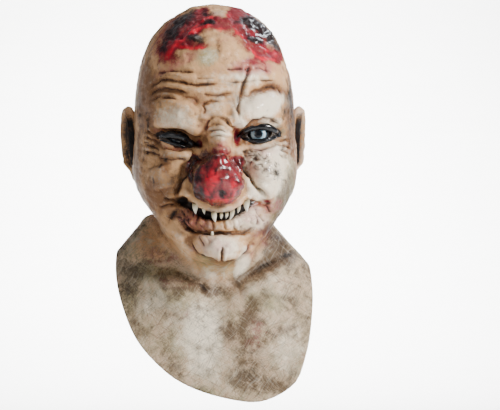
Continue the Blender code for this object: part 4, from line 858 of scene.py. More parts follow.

# %% [markdown]
# ## Paint
# A mask painter works in thin layers, so each colour here is a layer of its own, kept on the skin as a number
# from 0 (none) to 1 (full). The airbrushed patches are soft daubs. Washes that follow the relief come next, then
# the raw nose, the mouth, the grimy bib, the black lids and the gloss. Several layers carry painted light as well as
# paint: the brown, grime, crevice and black ones hold painted shade in hollows, creases, folds and on the shaded
# left side, and the pale and bright red ones hold painted highlights on the tops and the lit right side. The
# material mixes the layers later, and its noise breaks their edges up, as a stippling sponge does.

# %% Daubs: x, y, half width, half height in the photograph's frame, tilt and strength
# Some daubs are painted light. The grime and soot along the right collar fold and down the right edge of the face, the
# soot under the upper lip and the umber on the shaded left temple and cheek are painted shade, and the bone on the lit
# right brow, cheek and bridge is painted highlight.
DAUBS = {
    "grime": ((291, 112, 6, 50, 0, 0.65), (285, 196, 10, 36, -18, 0.95), (276, 226, 13, 15, -35, 0.75),
              (280, 240, 27, 15, -34, 0.9), (293, 254, 17, 6, 18, 1.0), (271, 262, 19, 7, 32, 0.9),
              (250, 273, 17, 6, 28, 0.6), (210, 294, 11, 6, 0, 0.6), (140, 112, 5, 46, 4, 0.35),
              (228, 338, 6, 14, -20, 0.45), (148, 262, 26, 3, 4, 0.5), (176, 289, 20, 3, -8, 0.4)),
    "bone": ((208, 57, 13, 11, 0, 0.6), (190, 322, 30, 26, 0, 0.35), (150, 302, 22, 16, -10, 0.45),
             (228, 92, 30, 30, 0, 0.25), (217, 13, 10, 6, 0, 0.6), (264, 104, 26, 15, 14, 1.3),
             (240, 122, 8, 8, 0, 0.8), (270, 122, 14, 7, -10, 0.7), (216, 112, 12, 14, 0, 0.45),
             (178, 117, 26, 12, -6, 1.25), (268, 170, 26, 36, 0, 1.3), (250, 160, 12, 16, 0, 0.5),
             (258, 190, 14, 12, 0, 0.7), (218, 246, 28, 16, 0, 1.0), (248, 219, 24, 15, 0, 1.1),
             (280, 205, 9, 26, -22, 0.15), (182, 243, 6, 24, 30, 0.5),
             (212, 272, 20, 9, 0, 0.35), (241, 265, 8, 21, -12, 1.5), (206, 328, 24, 50, -10, 0.60),
             (214, 372, 30, 24, 0, 0.3), (288, 352, 20, 36, 0, 0.4), (280, 285, 26, 12, -20, 0.10),
             (250, 76, 18, 12, 0, 0.6), (238, 108, 10, 12, 0, 0.4), (200, 346, 32, 42, 0, 0.3),
             (234, 154, 6, 7, 0, 0.4), (221, 134, 10, 9, 0, 0.8)),
    "umber": ((285, 300, 20, 12, -20, 0.3), (268, 338, 14, 8, 20, 0.35), (292, 372, 10, 10, 0, 0.3),
              (146, 96, 12, 46, 0, 0.9), (143, 160, 12, 44, 0, 0.25), (160, 100, 22, 34, 0, 0.35),
              (219, 46, 5, 18, 0, 0.5), (174, 131, 30, 7, 0, 0.6), (158, 200, 16, 24, 20, 0.8),
              (152, 236, 30, 24, 30, 0.25), (276, 240, 34, 22, -30, 1.0), (294, 104, 10, 40, 0, 0.75),
              (296, 180, 8, 34, 10, 0.6), (190, 214, 26, 14, -18, 1.0), (204, 225, 24, 10, 0, 0.8),
              (186, 174, 5, 20, -18, 0.5), (162, 182, 20, 26, 0, 0.5), (282, 206, 14, 36, -22, 0.95),
              (292, 130, 12, 50, 0, 0.9), (218, 211, 34, 4, 0, 0.8), (204, 288, 18, 8, -20, 0.8),
              (266, 264, 26, 8, 28, 0.7), (173, 300, 24, 10, 0, 0.25), (254, 319, 16, 14, 0, 0.75),
              (232, 331, 18, 12, 0, 0.7), (248, 348, 26, 20, -20, 0.75), (250, 376, 32, 22, 0, 0.8),
              (282, 386, 22, 12, 0, 0.7), (172, 366, 22, 14, -40, 0.65), (132, 318, 9, 34, 0, 0.5),
              (284, 330, 20, 6, 10, 0.6), (203, 388, 24, 8, -10, 0.45), (128, 280, 12, 22, 0, 0.4),
              (165, 164, 9, 11, 0, 0.6), (246, 156, 12, 8, -30, 0.5), (278, 172, 8, 9, 0, 0.6),
              (208, 111, 6, 9, 0, 0.4), (166, 156, 20, 6, 0, 0.45), (262, 121, 24, 5, 4, 0.5),
              (274, 150, 18, 7, 0, 0.4), (258, 206, 16, 8, 0, 0.5), (210, 144, 5, 6, 0, 0.3),
              (196, 236, 18, 5, 20, 0.6), (222, 263, 26, 4, 0, 0.5), (230, 292, 20, 8, 0, 0.5)),
    "moss": ((207, 57, 15, 13, 0, 1.0), (280, 208, 13, 34, -24, 0.9), (288, 180, 11, 32, 0, 0.8),
             (266, 302, 24, 16, 0, 0.45), (180, 300, 34, 18, 0, 0.3), (228, 270, 24, 12, 0, 0.5),
             (190, 340, 28, 36, 0, 0.2), (150, 272, 34, 14, 0, 0.35), (198, 394, 26, 9, 0, 0.6),
             (204, 262, 14, 16, 20, 0.5), (280, 130, 10, 22, 0, 0.3), (130, 300, 10, 20, 0, 0.4)),
    "mauve": ((168, 70, 18, 8, 20, 0.35), (156, 44, 12, 26, 0, 0.35), (262, 66, 24, 7, -10, 0.6),
              (226, 40, 12, 8, 0, 0.25),
              (175, 148, 20, 5, -14, 0.3), (262, 151, 20, 8, 0, 0.45), (196, 219, 24, 15, -14, 0.6),
              (250, 214, 28, 18, 0, 0.55), (268, 168, 18, 20, 0, 0.15), (273, 206, 12, 10, 0, 0.5),
              (252, 68, 22, 11, 0, 0.8), (176, 284, 22, 6, -10, 0.7), (212, 246, 24, 14, 0, 0.45),
              (160, 258, 28, 12, -20, 0.65), (270, 238, 22, 14, 0, 0.35), (187, 315, 12, 8, 0, 0.45),
              (257, 329, 13, 11, 0, 0.65), (253, 344, 13, 9, 0, 0.55), (246, 252, 8, 12, 0, 0.4),
              (184, 60, 26, 7, 30, 0.55), (221, 146, 10, 7, 0, 0.7), (205, 127, 8, 12, 0, 0.3),
              (236, 70, 30, 6, 0, 0.3), (270, 92, 16, 10, 0, 0.25)),
    "soot": ((182, 201, 8, 6, 0, 0.75), (176, 139, 24, 9, -14, 0.55), (261, 131, 25, 10, 4, 0.65),
             (186, 18, 16, 8, 38, 1.0), (172, 32, 16, 9, 48, 1.1), (209, 22, 8, 5, 0, 1.1), (163, 48, 9, 8, 62, 0.8),
             (195, 39, 12, 6, -8, 1.2), (207, 13, 8, 5, 20, 0.7), (202, 24, 6, 3, 0, 0.5),
             (252, 23, 14, 8, -24, 1.6), (265, 31, 14, 9, -40, 1.5), (275, 43, 8, 13, 20, 1.0),
             (256, 40, 9, 5, -10, 1.5), (246, 33, 9, 4, -40, 0.7), (238, 22, 6, 4, 0, 0.7),
             (213, 24, 6, 4, 0, 0.5), (282, 114, 3.5, 12, 0, 0.7), (238, 106, 2.6, 16, 8, 0.6),
             (292, 112, 2.5, 22, 0, 0.5), (289, 96, 2.0, 18, 0, 0.5), (155, 184, 2.4, 9, 0, 0.7),
             (148, 120, 2.0, 16, 4, 0.5), (144, 150, 2.0, 18, 0, 0.5), (140, 110, 1.6, 20, 0, 0.4),
             (151, 104, 1.5, 14, 0, 0.35), (167, 160, 4.4, 3.4, 0, 0.8),
             (162, 166, 3.6, 3, 0, 0.75), (276, 174, 6, 5, 0, 0.7), (270, 168, 10, 7, -30, 0.2),
             (174, 214, 3, 11, -28, 0.6), (282, 257, 28, 4, 24, 0.75),
             (258, 270, 18, 4, 30, 0.55), (202, 286, 10, 3.5, -24, 0.5), (253, 201, 12, 7, 0, 0.35),
             (249, 350, 16, 11, 0, 0.25), (252, 378, 18, 11, 0, 0.25), (222, 254, 1.8, 8, 0, 0.7),
             (126, 296, 6, 24, 0, 0.3), (300, 236, 18, 13, -40, 0.8), (280, 240, 28, 15, -34, 0.6),
             (290, 104, 7, 36, 0, 0.35), (218, 46, 2.2, 9, 0, 0.5), (208, 52, 5, 4, 0, 0.25),
             (200, 209, 30, 3.6, -14, 0.6),
             (234, 209, 22, 3.2, 14, 0.5), (187, 172, 2.4, 18, -22, 0.85), (245, 170, 2.4, 16, 20, 0.6),
             (196, 145, 6, 7, -20, 0.9), (188, 228, 12, 4, -40, 0.35), (183, 216, 9, 10, 0, 0.45),
             (150, 220, 20, 4, 52, 0.3), (237, 136, 4, 10, 0, 0.75)),
    "blood": ((258, 30, 28, 17, -40, 1.0), (240, 16, 18, 10, -25, 1.0), (175, 33, 30, 18, 44, 1.0),
              (203, 22, 24, 14, 18, 1.0), (186, 36, 24, 12, 40, 1.0), (167, 56, 12, 16, 62, 0.9),
              (194, 46, 18, 6, 4, 1.0), (234, 24, 14, 15, -50, 1.0), (250, 42, 22, 13, -48, 1.1),
              (268, 56, 18, 9, -20, 1.1), (220, 24, 14, 9, 0, 0.9), (278, 55, 6, 12, 0, 0.8),
              (237, 137, 5, 13, 0, 1.1), (254, 62, 14, 6, -20, 0.8), (200, 12, 14, 6, 20, 0.8),
              (241, 168, 4, 14, 10, 0.4), (268, 200, 9, 3.5, -8, 0.7), (240, 14, 14, 6, -20, 0.8),
              (199, 143, 5, 6, 0, 0.8), (221, 151, 12, 8, 0, 0.9), (160, 130, 7, 5, 0, 0.3),
              (258, 204, 10, 4, 0, 0.5)),
    # Bright red paint, with painted highlight along the raised rims of the wounds.
    "ember": ((203, 28, 15, 3.2, 20, 1.0), (186, 38, 15, 3.0, 36, 1.0), (170, 53, 9, 2.4, 62, 0.7),
              (194, 48, 13, 2.2, 4, 0.9), (180, 47, 6, 2.4, -20, 0.8), (221, 30, 7, 3.0, 0, 0.6),
              (238, 34, 13, 2.2, -50, 0.8), (252, 51, 10, 2.4, -48, 0.8), (266, 59, 12, 2.6, -14, 0.9),
              (244, 27, 8, 2.0, -30, 0.6), (264, 49, 7, 2.8, -30, 0.7), (275, 53, 4, 6, 0, 0.6),
              (208, 19, 9, 3, 20, 0.8), (194, 27, 8, 2.0, 40, 0.6), (228, 15, 6, 3, 0, 0.4),
              (212, 181, 9, 15, 0, 1.1), (207, 195, 6, 9, 20, 0.8), (217, 201, 14, 5, 0, 0.9),
              (234, 186, 7, 14, 0, 0.6), (219, 165, 6, 8, 0, 0.4), (231, 199, 8, 6, 20, 0.7),
              (226, 158, 5, 5, 0, 0.5), (238, 172, 4, 8, 10, 0.6)),
}


def daub_layer(name):
    """The sum of a layer's daubs on the skin's front."""
    layer = sum(strength * patch_at(*spot) ** 0.7 for *spot, strength in DAUBS[name])
    return layer * ON_FACE


def clipped(field):
    """The field kept between 0 and 1."""
    return np.clip(field, 0, 1)


# %% The layers, with the washes that go on all round
# Thin brown wash runs into every hollow and is wiped off the tops, and a nearly dry brush of bone then catches
# only the tops. Both follow the sculpted relief itself, and both are also painted light: shade in the hollows, round
# the sides of the head and in a halo beside each crease, highlight on the tops, and less pale paint on the shaded
# left side.
LAYERS = {name: daub_layer(name) for name in DAUBS}
blotch = grain(formed, 26 * MM, 21) * 0.6 + grain(formed, 11 * MM, 22) * 0.4
mottle = 0.5 * grain(formed, 9 * MM, 34) + 0.5 * grain(formed, 4.5 * MM, 35)
round_the_side = 1 - eased(0.0, 0.75, np.cos(U))[None, :]
beside_nose = eased(0.0, 0.4, patch_at(218, 165, 38, 30, 0))
shaded_side = HEAD_PART * ON_FACE * eased(232, 192, PX)
LAYERS["umber"] += (round_the_side * (0.46 + 0.20 * blotch) + 0.12 * blotch + 0.06 + 0.60 * CREASE_SHADE
                    + 0.70 * clipped(HOLLOW_WIDE) * (1 - 0.8 * beside_nose) + 0.30 * clipped(HOLLOW_FINE)
                    + BIB_PART * (0.06 + 0.40 * mottle))
LAYERS["bone"] += ((1 - ON_FACE) * 0.14 * clipped(-blotch) + 0.04 + 0.30 * clipped(-HOLLOW_FINE)
                   + 0.15 * clipped(-HOLLOW_WIDE) * ON_FACE + BIB_PART * 0.25 * clipped(-mottle))
# Painted shade: less of the pale coat beside the creases and on the face's shaded left side.
LAYERS["bone"] *= (1 - 0.6 * CREASE_SHADE) * (1 - 0.55 * shaded_side)
LAYERS["moss"] += BIB_PART * (0.34 + 0.3 * mottle)
LAYERS["moss"] += (1 - ON_FACE) * 0.35 * clipped(grain(formed, 30 * MM, 23))
LAYERS["mauve"] += 0.12 * clipped(grain(formed, 18 * MM, 24))

# %% The raw red nose
# The nose is blood red from just below the eyes down, and the red runs a little way up its neck and flanks. Black
# sits in its pits and in a net of veins, and along its edge it is painted shade, above all on the shaded left side.
neck_of_nose = np.sqrt(patch_at(218, 161, 23, 17, 0)) * ON_FACE
for flank in ((196, 170, 12, 18, 8), (235, 167, 11, 15, -4)):
    neck_of_nose = np.maximum(neck_of_nose, eased(0.0, 0.35, patch_at(*flank)) * ON_FACE)
NOSE_PAINT = clipped(np.maximum(eased(0.05, 0.45, NOSE), neck_of_nose))
red_below = eased(141, 152, -PZ + 5 * grain(formed, 5 * MM, 36))
for name in ("bone", "umber", "moss", "soot", "mauve"):
    LAYERS[name] *= 1 - NOSE_PAINT * red_below
LAYERS["ember"] *= np.where(NOSE > 0.02, NOSE_PAINT, 1)
LAYERS["blood"] = LAYERS["blood"] * (1 - NOSE_PAINT) + NOSE_PAINT * red_below
# Pits of the nose, and a long patch down the left flank, which is painted shade.
PITS = ((222, 195, 4, 5.5, 0, 1.8), (194, 176, 9, 26, 8, 1.0), (214, 157, 12, 5, 0, 0.35),
        (219, 169, 15, 7, -10, 0.75), (236, 162, 5, 10, 14, 0.3))
pits_and_edge_shade = sum(strength * patch_at(*spot) for *spot, strength in PITS)
# Painted shade: darker towards the nose's edge, most on the left, shaded side.
to_edge = np.hypot((PX - 219) / 26, (PZ + 180) / 30)
pits_and_edge_shade += eased(0.45, 0.95, to_edge) * np.where(PX < 217, 1.0, 0.35)
veins = worn_lines((1, 1, 1), 7 * MM, 38, 2.2) + 0.6 * clipped(grain(formed, 2.6 * MM, 41))
black = np.clip(pits_and_edge_shade * (0.55 + 0.5 * grain(formed, 6 * MM, 30)) + 0.55 * veins, 0, 0.85)
LAYERS["soot"] += NOSE_PAINT * red_below * black
LAYERS["ember"] *= 1 - 0.6 * NOSE_PAINT * clipped(veins)

# %% The mouth's dark line, and streaks down the sides of the head
# Where the lips meet, the line is black and brown paint and painted shadow under the upper lip.
MOUTH_LINE = ((182, 202), (190, 206), (198, 211.5), (208, 216), (218, 217), (230, 215), (242, 209), (251, 203))
mouth_away, _ = near_line(MOUTH_LINE, 14)
lips_meet = np.exp(-((mouth_away / 4.8) ** 4)) * ON_FACE * (1 - NOSE_PAINT)
LAYERS["umber"] = np.maximum(LAYERS["umber"], lips_meet)
LAYERS["soot"] = np.maximum(LAYERS["soot"], 1.6 * np.exp(-((mouth_away / 3.2) ** 4)) * lips_meet)
run_down = formed * np.array([1, 1, 0.2])            # a wash runs, so its noise is five times as tall as wide
streak = clipped(grain(run_down, 3.0 * MM, 39) * 0.7 + grain(run_down, 6.0 * MM, 40) * 0.6)
LAYERS["umber"] += HEAD_PART * round_the_side * 0.9 * streak
LAYERS["soot"] += HEAD_PART * round_the_side * 0.35 * clipped(streak - 0.25)
LAYERS["soot"] += 0.6 * LIP_LEFT * lip_lines

# %% The grimy bib and the warm side of the neck
# The bib is a greyer latex colour under rubbed-in grime and painted shade in its folds, with far less of the warm
# brown. Only the neck below the jaw's shaded side keeps the warm tan of the head, darkened there as painted shade.
LAYERS["grime"] += BIB_PART * (0.72 * LAYERS["umber"] + 0.5 * clipped(mottle)) + 1.0 * draped_fold_shade
warm_neck = np.sqrt(patch_at(154, 240, 38, 24, 30)) * ON_FACE * (1 - HEAD_PART)
LAYERS["umber"] = LAYERS["umber"] * (1 - 0.75 * BIB_PART) + 0.30 * warm_neck
LAYERS["grime"] *= 1 - 0.75 * warm_neck
LAYERS["mauve"] *= 1 - 0.55 * BIB_PART

# %% Black lids, dirty creases with painted shade, and wet gloss
FULL_BLACK = 1.8                 # more than 1, so that the stipple leaves no gaps in it
LID_BLACK = np.zeros(PX.shape)   # 1 on the skin round the lids
for lid in ((259.5, 133.2, 22, 9.0, 2), (176.5, 140.0, 21, 7.0, -17)):
    LID_BLACK = np.maximum(LID_BLACK, eased(0.0, 0.12, patch_at(*lid)) * ON_FACE)
LAYERS["soot"] = np.maximum(LAYERS["soot"], FULL_BLACK * np.maximum(POCKET, LID_BLACK))
# Dirt and painted shade: dark in the creases and pits, and in the fine hollows.
LAYERS["crevice"] = CREVICE_DIRT_AND_SHADE * (0.8 + 0.6 * mottle) + 0.45 * clipped(HOLLOW_FINE - 0.3)
LAYERS["crevice"] *= 1 - 0.7 * NOSE_PAINT
WET_DAUBS = ((262, 32, 26, 22, 0, 1.0), (194, 40, 14, 8, 0, 0.9), (184, 30, 32, 16, 38, 0.9),
             (175, 142, 22, 9, 0, 0.9), (258, 134, 24, 14, 0, 0.9), (254, 200, 14, 8, 0, 1.0),
             (233, 222, 12, 7, 0, 0.9), (268, 170, 24, 32, 0, 0.8), (262, 106, 24, 13, 14, 0.75),
             (245, 216, 24, 16, 0, 0.6), (252, 70, 18, 14, 0, 0.7), (246, 262, 10, 20, 0, 0.4),
             (238, 108, 8, 16, 0, 0.8))
LAYERS["wet"] = NOSE_PAINT + sum(strength * patch_at(*spot) for *spot, strength in WET_DAUBS) * ON_FACE
LAYERS["chest"] = eased(16.6, 20.4, PLACES)[:, None] * (1 - 0.6 * warm_neck)     # where the bib's base colour lies
LAYERS = {name: np.clip(layer, 0, FULL_BLACK if name == "soot" else 1) for name, layer in LAYERS.items()}
print("paint layers:", {name: round(float(layer.mean()), 2) for name, layer in LAYERS.items()})

# %% [markdown]
# ## One closed skin
# Latex is a wall, so the piece gets an inside too: the main form moved in by the wall's thickness, with far
# fewer faces, since it only shows through the neck. A strip along the hem joins the two.


# %% The inner wall
INNER_COLUMNS, INNER_ROWS = 4, 4     # every fourth column and row, and every row where the neck turns outward
row_numbers = np.arange(len(PLACES))
turning = (PLACES > 16.0) & (PLACES < 19.2)
row_picks = row_numbers[(row_numbers % INNER_ROWS == 0) | turning | (row_numbers == len(PLACES) - 1)]


def lowest_near(field, steps):
    """The lowest value within some points of each, so that the coarse inside never shows through."""
    for _ in range(steps):
        field = np.minimum(field, np.minimum(np.roll(field, 1, axis=1), np.roll(field, -1, axis=1)))
        field[1:-1] = np.minimum(field[1:-1], np.minimum(field[:-2], field[2:]))
    return field


deepest = lowest_near(np.minimum(rise, 0), 6)
forward = SMOOTH[..., 1] - formed[..., 1]        # how far the folds and forms stand forward of the smooth head
thicker = 2.0 * (eased(15.3, 16.2, PLACES) * eased(19.4, 18.4, PLACES))[:, None]     # mm more round the neck
thicker = thicker + 3.0 * np.sqrt(patch_at(218, 214, 52, 20, 0)) * ON_FACE           # and behind the lips
inner = formed + facing_of(formed) * (crest * (deepest - thicker) * MM - WALL)[..., None]
inner[..., 1] += (forward - lowest_near(forward, 5)) * (PLACES > 15.5)[:, None]      # below the chin, not so far out
inner = inner[row_picks][:, ::INNER_COLUMNS]
for name, centre in EYE_CENTRES.items():
    away = np.hypot(inner[..., 0] - centre[0], inner[..., 2] - centre[2])
    behind = centre[1] - EYE_RADIUS + EYE_THICKNESS + POCKET_GAP + WALL
    near = (away < EYE_RADIUS * 1.25) & (inner[..., 1] < 0)
    inner[..., 1] = np.where(near, np.maximum(inner[..., 1], behind), inner[..., 1])
print("inner wall's grid:", inner.shape[:2])


# %% Build the closed mesh and give it its layers
INSIDE_LAYERS = {"umber": 0.5, "soot": 0.25}         # brown stipple on tan, and no other paint


def keep_layer(mesh, name, values):
    """Keeps a number, or a vector, at each point of a mesh for its material or its nodes."""
    values = np.asarray(values, np.float32)
    kind, field = ("FLOAT_VECTOR", "vector") if values.ndim == 2 else ("FLOAT", "value")
    mesh.attributes.new(name, kind, "POINT").data.foreach_set(field, values.reshape(-1))


def closed_skin():
    """Outer wall, inner wall and the strip along the hem, as points and faces."""
    rows, columns = sculpted.shape[:2]
    few_rows, few = inner.shape[:2]
    points = np.concatenate([sculpted[0].mean(0)[None], sculpted[1:].reshape(-1, 3),
                             inner[0].mean(0)[None], inner[1:].reshape(-1, 3)])
    outer_at = lambda i, j: 1 + (i - 1) * columns + j % columns
    start = 1 + (rows - 1) * columns
    inner_at = lambda i, j: start + 1 + (i - 1) * few + j % few
    faces = [(0, outer_at(1, j), outer_at(1, j + 1)) for j in range(columns)]
    faces += [(outer_at(i, j), outer_at(i + 1, j), outer_at(i + 1, j + 1), outer_at(i, j + 1))
              for i in range(1, rows - 1) for j in range(columns)]
    faces += [(start, inner_at(1, j + 1), inner_at(1, j)) for j in range(few)]
    faces += [(inner_at(i, j + 1), inner_at(i + 1, j + 1), inner_at(i + 1, j), inner_at(i, j))
              for i in range(1, few_rows - 1) for j in range(few)]
    for j in range(few):
        here, there = inner_at(few_rows - 1, j), inner_at(few_rows - 1, j + 1)
        hem = [outer_at(rows - 1, INNER_COLUMNS * j + m) for m in range(INNER_COLUMNS + 1)]
        faces += [(hem[m], here, hem[m + 1]) for m in range(INNER_COLUMNS)]
        faces.append((here, there, hem[-1]))
    return points, faces


points, faces = closed_skin()
skin_mesh = bpy.data.meshes.new("latex_skin")
skin_mesh.from_pydata(points.tolist(), [], faces)
skin_mesh.shade_smooth()
skin = added("latex_skin", skin_mesh)
for name, layer in LAYERS.items():
    values = np.full(len(points), INSIDE_LAYERS.get(name, 0.0))
    outer = np.concatenate([[layer[0].mean()], layer[1:].reshape(-1)])
    values[:len(outer)] = outer
    keep_layer(skin_mesh, name, values)
skin_mesh.calc_loop_triangles()
print("skin triangles:", len(skin_mesh.loop_triangles))

# %% [markdown]
# ## Painted latex
# Latex is a soft rubber, cast thin and painted with tinted latex. To the eye it has a slightly oily sheen, fine
# pores, and colour that sits in stippled layers. Roughness falls where the painter brushed on wet-look gloss.
# Light goes a little way into it, so shadows near edges look warm.

# %% The layered paint material
# The umber, grime, crevice and soot layers also carry painted shade, and the bone and ember layers painted highlight.
PAINTS = (                # layer, colour, how much noise breaks its edge, and how thick it goes on
    ("chest", "#b3a08a", 0.50, 0.80),
    ("umber", "#70482a", 0.85, 0.88),
    ("moss", "#8f9068", 0.70, 0.80),
    ("bone", "#fbeed6", 0.80, 0.85),
    ("grime", "#54402e", 1.00, 0.85),
    ("mauve", "#aa4c58", 0.80, 0.60),
    ("crevice", "#24120a", 0.60, 0.90),
    ("blood", "#78041f", 0.60, 0.97),
    ("ember", "#d4152f", 0.80, 0.90),
    ("soot", "#060507", 0.80, 0.95),
)
BASE_TAN = "#d8a878"


def maths(tree, operation, *values, clamp=False):
    """The result of a Math node on values or other nodes' sockets."""
    return node(tree, "ShaderNodeMath", dict(enumerate(values)), operation=operation, use_clamp=clamp).outputs[0]


def ranged(tree, value, *limits, **settings):
    """A value moved from one range to another. The limits are from low, from high, to low (0) and to high (1)."""
    return node(tree, "ShaderNodeMapRange", dict(enumerate((value, *limits))), **settings).outputs[0]


def layer_of(tree, name):
    """A number that was kept at each point of the mesh."""
    return node(tree, "ShaderNodeAttribute", attribute_name=name).outputs["Fac"]


def noise_of(tree, size_mm, detail, where=None, **inputs):
    """Smooth noise that changes over about size_mm, as the node's first socket."""
    given = {"Scale": 1000 / size_mm, "Detail": detail, **inputs}
    return node(tree, "ShaderNodeTexNoise", given if where is None else {"Vector": where, **given}).outputs[0]


def stipple_field(tree, where):
    """Noise of three sizes, blotches, sponge marks and fine stipple, centred on zero."""
    total = 0.0
    for size_mm, weight in ((14.0, 0.9), (5.0, 0.9), (1.8, 0.7)):
        centred = maths(tree, "ADD", noise_of(tree, size_mm, 4.0, where, Roughness=0.6), -0.5)
        total = maths(tree, "MULTIPLY_ADD", centred, weight, total)
    return total


def coats_of_paint(tree, stipple):
    """The base tan with one coat after another on it, each where the skin's own layer says."""
    shade = ranged(tree, stipple, -0.5, 0.5, 0.72, 1.18)
    colour = mixed(tree, 1.0, srgb(BASE_TAN), shade, "MULTIPLY")
    for layer, paint, broken, thickness in PAINTS:
        amount = layer_of(tree, layer)
        uneven = maths(tree, "MULTIPLY_ADD", stipple, broken * 1.4, amount)
        edge = ranged(tree, uneven, 0.0, 1.0, 0.0, thickness, interpolation_type="SMOOTHSTEP")
        present = maths(tree, "MULTIPLY", amount, 8.0, clamp=True)          # no stipple where there is no paint
        colour = mixed(tree, maths(tree, "MULTIPLY", edge, present), colour, srgb(paint))
    return colour


# %% Dry-brush scratches, pores and gloss
SCRATCHES = (              # angle, seed, colour, strength: drawn by a stiff brush dragged over the bib
    (40, 0.3, "#3c2c1e", 0.52), (-44, 0.7, "#f6ead4", 0.14), (66, 1.1, "#4a3a2c", 0.48),
    (-60, 0.5, "#3a2c20", 0.46), (36, 0.9, "#fbf0dc", 0.16), (-15, 1.3, "#5a4838", 0.40),
)


def scratch_lines(tree, where, angle, seed):
    """Thin scratches that run at an angle across the front: about 1 mm wide and 14 mm long."""
    wander = node(tree, "ShaderNodeTexNoise", {"Vector": where, "Scale": 1000 / 22, "Detail": 1.0}).outputs["Color"]
    bent = node(tree, "ShaderNodeVectorMath", {0: wander, 1: (8 * MM,) * 3, 2: where}, operation="MULTIPLY_ADD")
    turned = node(tree, "ShaderNodeMapping", {"Vector": bent.outputs[0], "Location": (seed, 0, 0),
                                              "Rotation": (0, math.radians(angle), 0),
                                              "Scale": (1.1 * MM, 20 * MM, 15 * MM)},
                  vector_type="TEXTURE").outputs[0]
    lines = node(tree, "ShaderNodeTexNoise", {"Vector": turned, "Scale": 1.0, "Detail": 3.0}).outputs[0]
    return ranged(tree, lines, 0.54, 0.74, clamp=True)


latex, tree, shader = finish("painted_latex")       # tinted rubber: warm, uneven, with a slight oily sheen
where = node(tree, "ShaderNodeTexCoord").outputs["Object"]
stipple = stipple_field(tree, where)
colour = coats_of_paint(tree, stipple)
for angle, seed, paint, strength in SCRATCHES:
    lines = maths(tree, "MULTIPLY", scratch_lines(tree, where, angle, seed), layer_of(tree, "chest"))
    colour = mixed(tree, maths(tree, "MULTIPLY", lines, strength), colour, srgb(paint))
tree.links.new(colour, shader.inputs["Base Color"])
wet = layer_of(tree, "wet")
tree.links.new(wet, shader.inputs["Coat Weight"])
shader.inputs["Coat Roughness"].default_value = 0.14
shader.inputs["Coat IOR"].default_value = 1.38
dull = ranged(tree, wet, 0.0, 1.0, 0.50, 0.30)
tree.links.new(maths(tree, "MULTIPLY_ADD", stipple, 0.14, dull), shader.inputs["Roughness"])
pores = node(tree, "ShaderNodeTexVoronoi", {"Vector": where, "Scale": 1000 / 1.5}, feature="F1").outputs[0]
skin_height = maths(tree, "MULTIPLY_ADD", pores, 0.35, noise_of(tree, 3.0, 5.0, where))
bump = node(tree, "ShaderNodeBump", {"Height": skin_height, "Strength": 0.7, "Distance": 0.6 * MM})
tree.links.new(bump.outputs[0], shader.inputs["Normal"])
shader.inputs["IOR"].default_value = 1.28          # oily rubber: little glare at the sides
shader.inputs["Subsurface Weight"].default_value = 0.05
shader.inputs["Subsurface Radius"].default_value = (0.9, 0.45, 0.25)
shader.inputs["Subsurface Scale"].default_value = 3 * MM
skin_mesh.materials.append(latex)
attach(skin, "root")
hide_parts("mask_skin")

# %% [markdown]
# ## Ears
# Each ear is cast with the head, but it is easiest to form on its own: a ball whose points are moved to a cupped
# outline with a rolled rim, an inner ridge and a bowl. Points that would go right through the skin stop halfway
# into its wall.

# %% Form the ears
OUTER_POINTS = 1 + (len(PLACES) - 1) * COLUMNS       # the crown's tip and all rows below it
skin_surface = BVHTree.FromPolygons(points[:OUTER_POINTS].tolist(), [f for f in faces if max(f) < OUTER_POINTS])


def ear_point(p):
    """A point of the unit ball moved to the ear's form, with x out of the ear, y to its back edge and z up."""
    r, angle = math.hypot(p.y, p.z), math.atan2(p.z, p.y)
    outline = 1 + 0.13 * math.cos(angle - math.radians(55)) - 0.07 * math.cos(2 * angle)
    lobe, fold = float(eased(-0.45, -0.80, p.z)), float(eased(-1.0, -0.6, math.cos(angle)))
    if p.x > 0:
        rim = math.exp(-(((r - 0.90) / 0.09) ** 2)) * (1 - lobe)
        inner_ridge = math.exp(-(((r - 0.56) / 0.10) ** 2)) * fold * (1 - lobe)
        bowl = math.exp(-(((p.y + 0.05) / 0.45) ** 2) - ((p.z + 0.05) / 0.50) ** 2)
        out = 0.35 + 0.30 * p.x + 1.45 * rim + 0.45 * inner_ridge - 1.80 * bowl
        deep = max(float(eased(0.88, 0.70, r)), float(eased(0.05, -0.3, p.y) * eased(0.92, 0.7, abs(p.z))))
        deep *= (1 - 0.35 * inner_ridge) * (1 - lobe)
    else:
        out, deep = 0.35 + 1.90 * p.x, 0.0
    place = Vector((out * EAR_THICKNESS / 2, p.y * outline * EAR_WIDTH / 2, p.z * outline * EAR_HEIGHT / 2))
    return place, deep


